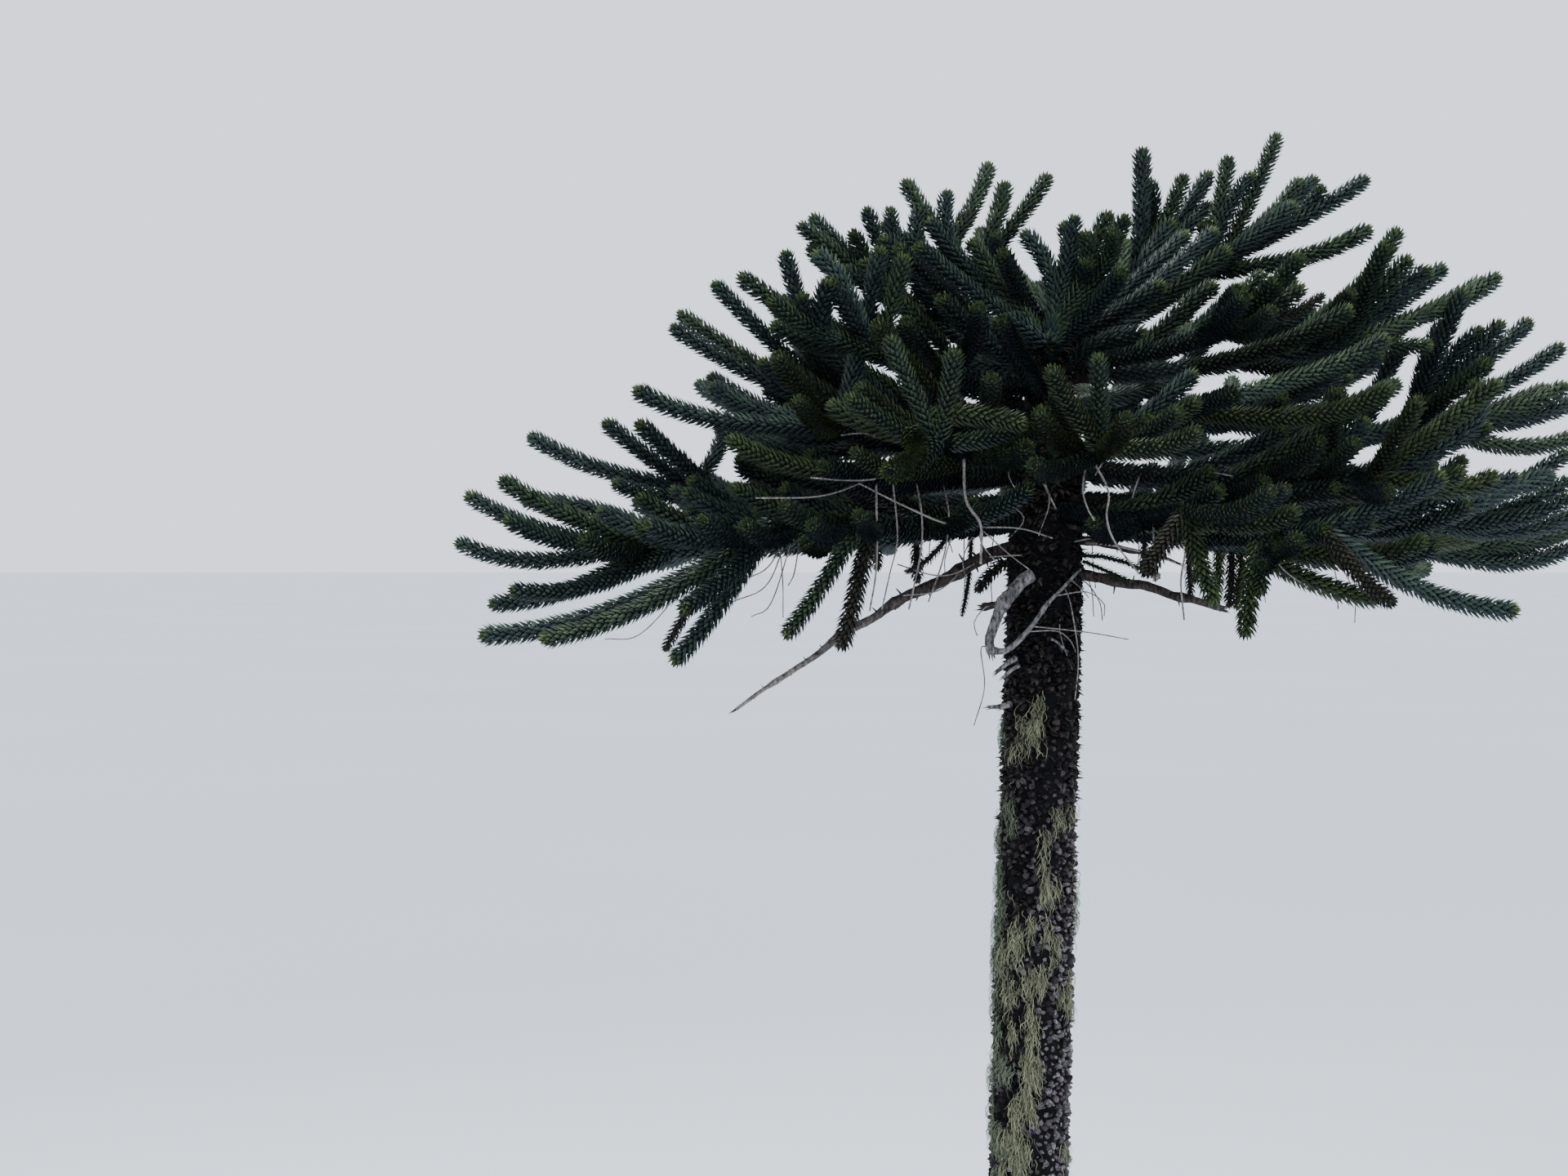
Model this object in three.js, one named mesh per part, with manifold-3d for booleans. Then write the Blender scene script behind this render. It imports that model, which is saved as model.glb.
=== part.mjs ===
// Monkey puzzle tree with an umbrella crown, millimetres, +Z up.
// The origin is the middle of the flat cut under the trunk, at ground level.
// Low, middle and high boughs leave the trunk all round. Each one carries a mass of
// rope-like leafy shoots that sweep outward and turn up at their ends.
import * as THREE from 'three';
import { mergeVertices } from 'three/addons/utils/BufferGeometryUtils.js';
import Module from 'manifold-3d';

const wasm = await Module();
wasm.setup();

// Trunk: heights, radii and lean
const DATUM = 5450; // height that the boughs' feet and ends are measured from
const TRUNK_TOP = 6470;
const TRUNK_SIDES = 18;
const TRUNK_RINGS = [
  // height, radius
  [0, 186], [90, 180], [220, 175], [420, 171], [800, 168], [1700, 162], [2970, 152],
  [4430, 143], [5450, 137], [5900, 116], [6200, 76], [TRUNK_TOP, 45],
];
const LEAN = 149; // sideways shift of the trunk's middle at LEAN_HEIGHT
const LEAN_HEIGHT = 6308;
const LEAN_POWER = 1.207;
const FLARE = 62; // extra radius of the root flare at the ground
const FLARE_FADE = 230; // height over which the flare fades
const FLARE_LOBES = 6;
const LOBE_DEPTH = 0.13;
const LOBE_TURN = 0.6; // radians

// Boughs
const GAP = 0.3; // clearance between pieces that rest on each other
const BOUGH_SIDES = 5;
const BOUGH_SEGMENTS = 3;
const BOUGH_RADIUS = 15; // at the foot, before the part that grows with reach
const BOUGH_RADIUS_PER_REACH = 0.008;
const BOUGH_TAPER = 0.55; // radius where the foliage begins, as part of the foot's
const LEAFY_FROM = 0.48; // part of a bough's length where its foliage begins
const BOUGH_SAG = 3; // degrees below the straight line at the foot
const BOUGH_UPTURN = 8; // degrees above it at the outer end
const BEND_REACH = 0.36; // how far a curve holds its end directions, per length

// Leafy shoots
const SHOOT_RADIUS = 37;
const SHOOT_SIDES = 4;
// place along the piece and radius there, as parts of the whole length and SHOOT_RADIUS
const SHOOT_SHAPE = [[0, 0.22], [0.25, 1], [0.68, 1], [1, 0.4]];
const SHORT_SHOOT = 620; // shoots shorter than this have the simpler shape
const SHORT_SHAPE = [[0, 0.25], [0.4, 1], [1, 0.45]];
const CORE_SHAPE = [[0, 0.75], [0.5, 1], [1, 0.7]];
const SHOOTS_PER_MASS = 6;
const CLEAR_OF_MASS = 2 * SHOOT_RADIUS + 6; // between middles of two masses' shoots
const CLEAR_OF_TRUNK = SHOOT_RADIUS + 12;
const CLEAR_OF_TOP = TRUNK_TOP + 60; // shoots above this height pass over the trunk
const FREE_FROM = 0.16; // part of a shoot's length that may lie among its neighbours
const BOUGH_FREE_FROM = 0.12;
const BOUGH_SAMPLES = 24;
const SHOOT_SAMPLES = 14;
const PLACED_SAMPLES = 18;
const TURNS = [0, 7, -7, 14, -14, 21, -21, 28, -28]; // swings that a crowded shoot tries
const TILTS = [0, 8, -8];
const FOOT_CURL = 15; // how far below its line a level shoot sets off
const TIP_CURL = 26; // how far above it a level shoot ends
const RISING_STRAIGHT = 38; // lift at which a rising shoot has lost its curl
const HANGING_STRAIGHT = 75;
const LEAST_CURL = 0.1;
const BASE_SWING = 1.25; // swing at the base and at the tip, per swing of the whole
const TIP_SWING = 0.75;
// Side shoots: where they start on the leafy stretch, and their spread to either side
const SIDE_FROM = 0.2;
const SIDE_SPAN = 0.75;
const SIDE_SWING = 66;
const SIDE_SWING_LOSS = 36; // lost towards the bough's end
const SWING_JITTER = 8;
const LIFT_JITTER = [-14, 12];
const LENGTH_JITTER = [0.82, 1.08];
const FIRST_SEED = 1000;
const SEED_STEP = 77;

// Each bough: height of its foot and of its outer end above DATUM, azimuth, reach,
// lift and length of its side shoots, and its leading shoots, each given as
// [place along the leafy stretch, swing from the bough, lift, length].
// Azimuths are degrees from +X towards +Y. The short bough at the trunk's tip is
// leafy from its foot, so its bare part is 0.
const BOUGHS = {
  low_left: {
    foot: 200, end: 60, azimuth: 181, reach: 1700, lift: 12, length: 560,
    leaders: [
      [1.0, -6, 2, 680], [1.0, -14, 18, 700], [0.8, 12, 22, 730], [1.0, 28, 12, 520],
      [0.9, 8, -19, 660], [0.8, 27, -13, 700],
    ],
  },
  low_left_front: {
    foot: 235, end: 150, azimuth: 214, reach: 1330, lift: 0, length: 520,
    leaders: [
      [1.0, -40, -21, 1180], [1.0, -30, -27, 950], [0.9, -7, -1, 570], [1.0, 5, -37, 520],
      [1.0, -21, -54, 630],
    ],
  },
  low_left_back: {
    foot: 250, end: 310, azimuth: 166, reach: 1490, lift: 25, length: 540,
    leaders: [
      [1.0, 6, 18, 720], [1.0, 24, 37, 450], [0.9, 49, 38, 440], [1.0, -127, 55, 280],
      [0.4, 40, 32, 330], [0.5, -54, 42, 360],
    ],
  },
  low_front_left: {
    foot: 180, end: 150, azimuth: 231, reach: 1240, lift: 8, length: 480,
    leaders: [[1.0, -38, -56, 490], [0.9, -22, -74, 460], [1.0, 4, 6, 480]],
  },
  low_front_right: {
    foot: 215, end: 180, azimuth: 289, reach: 1160, lift: 8, length: 480,
    leaders: [[1.0, -87, -53, 260], [1.0, 38, -70, 330], [1.0, 10, 8, 480]],
  },
  low_right_front: {
    foot: 180, end: 110, azimuth: 309, reach: 1410, lift: 4, length: 500,
    leaders: [[1.0, 55, -22, 750], [1.0, 5, -42, 370], [0.8, -71, -19, 310], [0.6, -84, -76, 360]],
  },
  low_right: {
    foot: 200, end: 150, azimuth: 353, reach: 1560, lift: 12, length: 560,
    leaders: [[1.0, 7, 19, 530], [1.0, -11, 12, 490], [0.9, 13, 26, 670]],
  },
  low_right_back: {
    foot: 170, end: 60, azimuth: 12, reach: 1640, lift: 5, length: 560,
    leaders: [[1.0, -7, 0, 630], [1.0, -18, 20, 510], [0.9, -1, 7, 760]],
  },
  low_back_right: {
    foot: 225, end: 260, azimuth: 48, reach: 1500, lift: 12, length: 560,
    leaders: [[1.0, 4, 10, 640]],
  },
  low_back_left: {
    foot: 210, end: 160, azimuth: 130, reach: 1480, lift: 10, length: 560,
    leaders: [[1.0, -4, 12, 620]],
  },
  mid_left_front: {
    foot: 430, end: 520, azimuth: 216, reach: 1110, lift: 15, length: 540,
    leaders: [[1.0, -32, 10, 730], [1.0, -60, 18, 510], [0.9, 130, 70, 690]],
  },
  mid_left_back: {
    foot: 540, end: 640, azimuth: 168, reach: 900, lift: 25, length: 560,
    leaders: [
      [1.0, 12, 27, 720], [1.0, -2, 32, 750], [0.9, 28, 43, 730], [1.0, 36, 72, 650],
      [0.5, 29, 22, 570], [0.5, -16, 44, 450],
    ],
  },
  mid_front_left: {
    foot: 440, end: 435, azimuth: 248, reach: 1400, lift: 18, length: 480,
    leaders: [[1.0, -49, 62, 390], [1.0, 44, 67, 320], [0.9, 87, 13, 300], [1.0, -17, -29, 220]],
  },
  mid_front: {
    foot: 470, end: 400, azimuth: 271, reach: 1500, lift: 14, length: 480,
    leaders: [[1.0, -45, 41, 370], [1.0, -14, 62, 330], [1.0, 2, 10, 420]],
  },
  mid_right_front: {
    foot: 400, end: 330, azimuth: 321, reach: 1430, lift: 15, length: 500,
    leaders: [
      [1.0, 50, -1, 550], [1.0, 18, 37, 530], [1.0, -31, 43, 360], [0.8, -62, 49, 390],
      [0.7, -42, 18, 370], [0.9, -46, -11, 360],
    ],
  },
  mid_right: {
    foot: 450, end: 560, azimuth: 3, reach: 1560, lift: 20, length: 560,
    leaders: [
      [1.0, -3, 16, 570], [1.0, -8, 31, 610], [0.9, -27, 49, 550], [0.9, -62, 61, 600],
      [1.0, 6, -4, 620], [0.9, -61, 30, 480],
    ],
  },
  mid_back_right: {
    foot: 540, end: 740, azimuth: 38, reach: 1440, lift: 18, length: 560,
    leaders: [[1.0, 0, 20, 620]],
  },
  mid_back: {
    foot: 400, end: 480, azimuth: 92, reach: 1480, lift: 15, length: 580,
    leaders: [[1.0, 0, 12, 640]],
  },
  mid_back_left: {
    foot: 480, end: 600, azimuth: 139, reach: 1340, lift: 20, length: 560,
    leaders: [[1.0, 0, 20, 620]],
  },
  high_left: {
    foot: 700, end: 800, azimuth: 222, reach: 980, lift: 30, length: 500,
    leaders: [[1.0, -42, 27, 580], [1.0, -17, 21, 460], [1.0, 0, 45, 340], [1.0, 108, 71, 360]],
  },
  high_left_back: {
    foot: 760, end: 1080, azimuth: 152, reach: 660, lift: 35, length: 500,
    leaders: [[1.0, 19, 44, 520], [1.0, 39, 36, 530], [1.0, 43, 68, 410], [0.9, -130, 59, 710]],
  },
  high_back_left: {
    foot: 850, end: 1200, azimuth: 125, reach: 500, lift: 45, length: 470,
    leaders: [[1.0, 65, 38, 430], [1.0, 45, 55, 490], [1.0, -93, 75, 430], [0.9, -137, 55, 520]],
  },
  high_back_right: {
    foot: 880, end: 1240, azimuth: 48, reach: 680, lift: 45, length: 480,
    leaders: [[1.0, -36, 56, 500], [0.9, -68, 66, 440], [0.8, -48, 88, 540]],
  },
  high_right_back: {
    foot: 820, end: 1270, azimuth: 26, reach: 840, lift: 45, length: 520,
    leaders: [
      [1.0, -31, 29, 670], [1.0, -15, 40, 530], [1.0, -26, 66, 560], [0.8, 6, 76, 490],
      [0.8, -40, 13, 670],
    ],
  },
  high_right_front: {
    foot: 780, end: 900, azimuth: 312, reach: 950, lift: 32, length: 480,
    leaders: [
      [0.9, 26, 27, 300], [1.0, -8, 35, 370], [0.9, -15, 27, 310], [0.9, -30, 3, 390],
      [0.8, -34, 33, 240],
    ],
  },
  high_right: {
    foot: 740, end: 900, azimuth: 352, reach: 1240, lift: 25, length: 540,
    leaders: [
      [1.0, 8, 24, 560], [0.9, 22, 36, 510], [0.8, -3, 60, 510], [0.5, -5, 42, 490],
      [0.8, -30, 44, 450], [0.7, -63, 36, 330],
    ],
  },
  high_front: {
    foot: 860, end: 860, azimuth: 262, reach: 340, lift: 40, length: 440, bare: 0,
    leaders: [
      [1.0, -72, 35, 630], [0.8, -86, 53, 500], [1.0, 87, 78, 490], [1.0, 112, 64, 560],
      [0.9, 82, 58, 560],
    ],
  },
};

// Dead limbs: foot height above DATUM, azimuth, how far the tip lies from the trunk's
// middle and how high above DATUM, slope at the foot and at the tip, and end radii
const DEAD_LIMBS = {
  dead_limb_long: {
    foot: 105, azimuth: 191, reach: 1270, tip: -575, slopes: [-14, -34], radii: [32, 6],
  },
  dead_stub_right_high: {
    foot: 100, azimuth: 352, reach: 525, tip: 2, slopes: [-4, -18], radii: [20, 5],
  },
  dead_stub_right_low: {
    foot: -20, azimuth: 350, reach: 705, tip: -180, slopes: [-8, -17], radii: [25, 14],
  },
  dead_stub_left: {
    foot: -150, azimuth: 195, reach: 262, tip: -176, slopes: [-2, -14], radii: [22, 13],
  },
};
// The broken limb hangs by its upper end from the front of the trunk and is snapped
// at its lowest point, where a thinner arm turns back up. Points are measured from
// the trunk's middle at DATUM.
const BROKEN_TOP = [-66, -128, -42];
const BROKEN_ELBOW = [-232, -212, -318];
const BROKEN_ARM_KNEE = [20, -205, -160];
const BROKEN_ARM_TIP = [122, -188, -24];
const BROKEN_RADII = [21, 17];
const BROKEN_ARM_RADII = [13, 7];
const BROKEN_SEGMENTS = 2;
const BROKEN_ARM_SEGMENTS = 3;

const COLOURS = {
  trunk: 0x2a241f, bough: 0x332c25, dead: 0x8f877b, foliage: 0x24381f,
};

// Curves

function trunkMiddle(height) {
  return LEAN * (Math.max(height, 0) / LEAN_HEIGHT) ** LEAN_POWER;
}

function trunkRadius(height) {
  for (let k = 1; k < TRUNK_RINGS.length; k += 1) {
    const [low, lowRadius] = TRUNK_RINGS[k - 1];
    const [high, highRadius] = TRUNK_RINGS[k];
    if (height <= high) {
      return lowRadius + ((height - low) / (high - low)) * (highRadius - lowRadius);
    }
  }
  return TRUNK_RINGS[TRUNK_RINGS.length - 1][1];
}

function direction(azimuth, elevation) {
  const a = THREE.MathUtils.degToRad(azimuth);
  const e = THREE.MathUtils.degToRad(elevation);
  return new THREE.Vector3(Math.cos(a) * Math.cos(e), Math.sin(a) * Math.cos(e), Math.sin(e));
}

// Curve from base to tip that sets off along start and arrives along end
function sweep(base, tip, start, end, handle) {
  const first = base.clone().addScaledVector(start, handle);
  const second = tip.clone().addScaledVector(end, -handle);
  return new THREE.CubicBezierCurve3(base, first, second, tip);
}

function boughCurve(row) {
  const height = DATUM + row.foot;
  const base = new THREE.Vector3(trunkMiddle(height), 0, height);
  const rise = row.end - row.foot;
  const slope = THREE.MathUtils.radToDeg(Math.atan2(rise, row.reach));
  const tip = base.clone().addScaledVector(direction(row.azimuth, 0), row.reach);
  tip.z += rise;
  const start = direction(row.azimuth, slope - BOUGH_SAG);
  const end = direction(row.azimuth, slope + BOUGH_UPTURN);
  return sweep(base, tip, start, end, BEND_REACH * row.reach);
}

// Share of the curl that a shoot of this lift keeps
function curlOf(lift) {
  const straight = lift > 0 ? RISING_STRAIGHT : HANGING_STRAIGHT;
  return Math.max(LEAST_CURL, 1 - Math.abs(lift) / straight);
}

function shootCurve(base, azimuth, swing, lift, length) {
  const curl = curlOf(lift);
  const start = direction(azimuth + BASE_SWING * swing, lift - FOOT_CURL * curl);
  const end = direction(azimuth + TIP_SWING * swing, lift + TIP_CURL * curl);
  const tip = base.clone().addScaledVector(direction(azimuth + swing, lift), length);
  return sweep(base, tip, start, end, BEND_REACH * length);
}

// Repeatable random numbers from 0 to 1
function dice(seed) {
  let state = seed;
  return () => {
    state = (state * 1664525 + 1013904223) % 4294967296;
    return state / 4294967296;
  };
}

// Growing rule: which shoots each bough carries

function samples(curve, first, last, count) {
  return Array.from({ length: count }, (_, k) =>
    curve.getPoint(first + ((last - first) / (count - 1)) * k));
}

function isClearOfTrunk(points) {
  return points.every((p) => p.z > CLEAR_OF_TOP
    || Math.hypot(p.x - trunkMiddle(p.z), p.y) > trunkRadius(p.z) + CLEAR_OF_TRUNK);
}

function isClearOfOthers(points, name, placed) {
  const limit = CLEAR_OF_MASS * CLEAR_OF_MASS;
  return placed.every((other) => other.name === name
    || points.every((p) => other.points.every((q) => p.distanceToSquared(q) >= limit)));
}

// Side shoots to left and right in turn, as many as the leading shoots leave room for
function sideShoots(row, index) {
  const draw = dice(FIRST_SEED + SEED_STEP * index);
  const between = (low, high) => low + (high - low) * draw();
  const wishes = [];
  const count = SHOOTS_PER_MASS - row.leaders.length;
  for (let k = 0; k < count; k += 1) {
    const side = k % 2 === 0 ? 1 : -1;
    const along = SIDE_FROM + (SIDE_SPAN * (k + draw())) / count;
    const swing = side * (SIDE_SWING - SIDE_SWING_LOSS * along)
      + between(-SWING_JITTER, SWING_JITTER);
    const lift = row.lift + between(...LIFT_JITTER);
    const length = row.length * between(...LENGTH_JITTER);
    wishes.push([along, swing, lift, length]);
  }
  return wishes;
}

// First swing and tilt of the wish that keeps clear of the trunk and other masses
function fittedShoot(name, row, curve, wish, placed) {
  const [along, swing, lift, length] = wish;
  const base = curve.getPoint(LEAFY_FROM + (1 - LEAFY_FROM) * along);
  for (const turn of TURNS) {
    for (const tilt of TILTS) {
      const shoot = shootCurve(base, row.azimuth, swing + turn, lift + tilt, length);
      const points = samples(shoot, FREE_FROM, 1, SHOOT_SAMPLES);
      if (isClearOfTrunk(points) && isClearOfOthers(points, name, placed)) return shoot;
    }
  }
  return null;
}

function growShoots(curves) {
  const names = Object.keys(BOUGHS);
  const placed = names.map((name) => (
    { name, points: samples(curves[name], BOUGH_FREE_FROM, 1, BOUGH_SAMPLES) }));
  const shoots = Object.fromEntries(names.map((name) => [name, []]));
  const leading = names.flatMap((name) => BOUGHS[name].leaders.map((wish) => [name, wish]));
  const lateral = names.flatMap((name, k) =>
    sideShoots(BOUGHS[name], k).map((wish) => [name, wish]));
  for (const [name, wish] of [...leading, ...lateral]) {
    const shoot = fittedShoot(name, BOUGHS[name], curves[name], wish, placed);
    if (shoot) {
      shoots[name].push(shoot);
      placed.push({ name, points: samples(shoot, 0, 1, PLACED_SAMPLES) });
    }
  }
  return shoots;
}

// Solids

const SAME_POINT = 1e-4; // vertices this near are one

function meshFromRings(rings) {
  const sides = rings[0].length;
  const positions = rings.flat().flatMap((p) => [p.x, p.y, p.z]);
  const faces = [];
  for (let r = 0; r + 1 < rings.length; r += 1) {
    for (let s = 0; s < sides; s += 1) {
      const a = r * sides + s;
      const b = r * sides + ((s + 1) % sides);
      faces.push(a, b, b + sides, a, b + sides, a + sides);
    }
  }
  const top = (rings.length - 1) * sides;
  for (let s = 1; s + 1 < sides; s += 1) {
    faces.push(0, s + 1, s);
    faces.push(top, top + s, top + s + 1);
  }
  const geometry = new THREE.BufferGeometry();
  geometry.setAttribute('position', new THREE.Float32BufferAttribute(positions, 3));
  geometry.setIndex(faces);
  return geometry;
}

// A direction that no limb or shoot follows
const ASKEW = new THREE.Vector3(0.31, 0.22, 0.93);

// Closed tube along a curve through stations, each a place on the curve and a radius
function tube(curve, stations, sides) {
  const rings = [];
  let across = null;
  for (const [t, radius] of stations) {
    const middle = curve.getPoint(t);
    const ahead = curve.getTangent(t);
    if (!across) across = ASKEW.clone().cross(ahead);
    across = across.clone().addScaledVector(ahead, -across.dot(ahead)).normalize();
    const up = ahead.clone().cross(across);
    const ring = [];
    for (let s = 0; s < sides; s += 1) {
      const angle = (2 * Math.PI * s) / sides;
      ring.push(middle.clone()
        .addScaledVector(across, radius * Math.cos(angle))
        .addScaledVector(up, radius * Math.sin(angle)));
    }
    rings.push(ring);
  }
  return meshFromRings(rings);
}

function trunkGeometry(extra) {
  const rings = TRUNK_RINGS.map(([height, radius], k) => {
    const lift = k === TRUNK_RINGS.length - 1 ? extra : 0;
    const flare = Math.exp(-height / FLARE_FADE);
    const ring = [];
    for (let s = 0; s < TRUNK_SIDES; s += 1) {
      const angle = (2 * Math.PI * s) / TRUNK_SIDES;
      const lobe = 1 + LOBE_DEPTH * flare * Math.cos(FLARE_LOBES * angle + LOBE_TURN);
      const reach = (radius + FLARE * flare) * lobe + extra;
      ring.push(new THREE.Vector3(
        trunkMiddle(height) + reach * Math.cos(angle), reach * Math.sin(angle), height + lift));
    }
    return ring;
  });
  return meshFromRings(rings);
}

function toSolid(geometry) {
  const merged = mergeVertices(geometry, SAME_POINT);
  const mesh = new wasm.Mesh({
    numProp: 3,
    vertProperties: new Float32Array(merged.attributes.position.array),
    triVerts: new Uint32Array(merged.index.array),
  });
  return new wasm.Manifold(mesh);
}

function toGeometry(solid) {
  const mesh = solid.getMesh();
  const geometry = new THREE.BufferGeometry();
  geometry.setAttribute('position', new THREE.Float32BufferAttribute(mesh.vertProperties, 3));
  geometry.setIndex(new THREE.Uint32BufferAttribute(mesh.triVerts, 1));
  const flat = geometry.toNonIndexed();
  flat.computeVertexNormals();
  return flat;
}

function boxesMeet(a, b) {
  const one = a.boundingBox();
  const two = b.boundingBox();
  return [0, 1, 2].every((k) => one.min[k] < two.max[k] && two.min[k] < one.max[k]);
}

// The solid less every grown copy that it meets, without crumbs cut off it
function cutClear(solid, copies) {
  let rest = solid;
  for (const copy of copies) {
    if (boxesMeet(rest, copy)) rest = rest.subtract(copy);
  }
  const bodies = rest.decompose();
  return bodies.reduce((best, body) => (body.volume() > best.volume() ? body : best));
}

// Even taper from the foot of a limb to its end
function limbStations(segments, last, thick, thin, extra) {
  return Array.from({ length: segments + 1 }, (_, k) => {
    const part = k / segments;
    return [last * part, thick + (thin - thick) * part + extra];
  });
}

// Boughs

function boughSolid(row, curve, extra) {
  const foot = BOUGH_RADIUS + BOUGH_RADIUS_PER_REACH * row.reach;
  const last = LEAFY_FROM + extra / row.reach;
  const stations = limbStations(BOUGH_SEGMENTS, last, foot, foot * BOUGH_TAPER, extra);
  return toSolid(tube(curve, stations, BOUGH_SIDES));
}

// Foliage: a core along the outer part of the bough, and one finger for each shoot

function shootSolid(shoot, extra) {
  const isShort = shoot.v0.distanceTo(shoot.v3) < SHORT_SHOOT;
  const shape = isShort ? SHORT_SHAPE : SHOOT_SHAPE;
  const stations = shape.map(([part, share]) => [part, SHOOT_RADIUS * share + extra]);
  return toSolid(tube(shoot, stations, SHOOT_SIDES));
}

function massSolid(row, curve, shoots, extra) {
  const first = (row.bare ?? LEAFY_FROM) + GAP / row.reach;
  const coreStations = CORE_SHAPE.map(([part, share]) =>
    [first + (1 - first) * part, SHOOT_RADIUS * share + extra]);
  const core = toSolid(tube(curve, coreStations, SHOOT_SIDES));
  return shoots.reduce((mass, shoot) => mass.add(shootSolid(shoot, extra)), core);
}

// Dead wood

function deadLimbSolid(row, extra) {
  const height = DATUM + row.foot;
  const base = new THREE.Vector3(trunkMiddle(height), 0, height);
  const tip = base.clone().addScaledVector(direction(row.azimuth, 0), row.reach);
  tip.z = DATUM + row.tip;
  const start = direction(row.azimuth, row.slopes[0]);
  const end = direction(row.azimuth, row.slopes[1]);
  const curve = sweep(base, tip, start, end, BEND_REACH * row.reach);
  const [thick, thin] = row.radii;
  return toSolid(tube(curve, limbStations(BOUGH_SEGMENTS, 1, thick, thin, extra), BOUGH_SIDES));
}

function fromDatum([x, y, z]) {
  return new THREE.Vector3(trunkMiddle(DATUM) + x, y, DATUM + z);
}

function brokenLimbSolid(extra) {
  const curve = new THREE.LineCurve3(fromDatum(BROKEN_TOP), fromDatum(BROKEN_ELBOW));
  const [thick, thin] = BROKEN_RADII;
  return toSolid(tube(curve, limbStations(BROKEN_SEGMENTS, 1, thick, thin, extra), BOUGH_SIDES));
}

function brokenArmSolid() {
  const points = [BROKEN_ELBOW, BROKEN_ARM_KNEE, BROKEN_ARM_TIP].map(fromDatum);
  const curve = new THREE.QuadraticBezierCurve3(...points);
  const [thick, thin] = BROKEN_ARM_RADII;
  return toSolid(tube(curve, limbStations(BROKEN_ARM_SEGMENTS, 1, thick, thin, 0), BOUGH_SIDES));
}

// Assembly

const tree = new THREE.Group();
const boughs = new THREE.Group();
const deadWood = new THREE.Group();
const foliage = new THREE.Group();
tree.add(boughs, deadWood, foliage);

function addPiece(group, name, solid, colour, roughness) {
  const material = new THREE.MeshStandardMaterial({ color: colour, roughness, metalness: 0 });
  const piece = new THREE.Mesh(toGeometry(solid), material);
  piece.name = name;
  group.add(piece);
}

addPiece(tree, 'trunk', toSolid(trunkGeometry(0)), COLOURS.trunk, 0.95);

const rows = Object.entries(BOUGHS);
const limbed = rows.filter(([, row]) => row.bare !== 0);
const curves = Object.fromEntries(rows.map(([name, row]) => [name, boughCurve(row)]));
const shoots = growShoots(curves);

// Slightly grown copies of what is already placed, which later pieces are cut clear of
const placedWood = [toSolid(trunkGeometry(GAP))];
const placedFoliage = [];

for (const [name, row] of limbed) {
  const solid = cutClear(boughSolid(row, curves[name], 0), placedWood);
  addPiece(boughs, `bough_${name}`, solid, COLOURS.bough, 0.92);
}
placedWood.push(...limbed.map(([name, row]) => boughSolid(row, curves[name], GAP / 2)));

for (const [name, row] of Object.entries(DEAD_LIMBS)) {
  addPiece(deadWood, name, cutClear(deadLimbSolid(row, 0), placedWood), COLOURS.dead, 0.85);
  placedWood.push(deadLimbSolid(row, GAP));
}
const broken = cutClear(brokenLimbSolid(0), placedWood);
addPiece(deadWood, 'dead_limb_broken', broken, COLOURS.dead, 0.85);
placedWood.push(brokenLimbSolid(GAP));
const brokenArm = cutClear(brokenArmSolid(), placedWood);
addPiece(deadWood, 'dead_limb_broken_arm', brokenArm, COLOURS.dead, 0.85);

for (const [name, row] of rows) {
  const whole = massSolid(row, curves[name], shoots[name], 0);
  const solid = cutClear(whole, [...placedWood, ...placedFoliage]);
  addPiece(foliage, `foliage_${name}`, solid, COLOURS.foliage, 0.8);
  placedFoliage.push(massSolid(row, curves[name], shoots[name], GAP));
}

export default tree;
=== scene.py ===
# A monkey puzzle tree with an umbrella crown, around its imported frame, +Z up.
# Growth is worked out in millimetres, by the same rule and from the same sizes as the
# solids that it replaces, so each mass keeps its place. More shoots, and the leaves,
# then grow on from those limbs. The pieces are made in metres.
import math

import bpy
import numpy as np
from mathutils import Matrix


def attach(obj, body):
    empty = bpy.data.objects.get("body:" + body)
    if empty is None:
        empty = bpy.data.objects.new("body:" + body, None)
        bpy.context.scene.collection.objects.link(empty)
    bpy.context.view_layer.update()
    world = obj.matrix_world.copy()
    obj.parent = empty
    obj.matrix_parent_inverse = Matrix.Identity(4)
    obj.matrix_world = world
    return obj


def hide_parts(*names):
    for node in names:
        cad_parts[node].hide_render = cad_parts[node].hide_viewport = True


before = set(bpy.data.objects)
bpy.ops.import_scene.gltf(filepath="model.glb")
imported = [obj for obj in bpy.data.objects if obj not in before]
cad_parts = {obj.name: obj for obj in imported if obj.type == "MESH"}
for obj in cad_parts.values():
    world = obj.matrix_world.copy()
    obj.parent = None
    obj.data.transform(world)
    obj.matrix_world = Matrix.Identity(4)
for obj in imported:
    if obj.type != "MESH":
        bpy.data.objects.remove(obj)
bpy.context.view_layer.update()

MM = 0.001

# Camera: the photograph's size and focal length in pixels, and where it was taken from
PHOTO_WIDTH = 1920
PHOTO_HEIGHT = 1440
FOCAL_PIXELS = 3030
HORIZON_ABOVE_MIDDLE = 30
SENSOR = 36.0
CAMERA_PLACE = (-0.93, -10.0, 5.45)
DIP = math.atan2(HORIZON_ABOVE_MIDDLE, FOCAL_PIXELS)  # how far it looks down
EYE = np.array(CAMERA_PLACE) / MM

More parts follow.
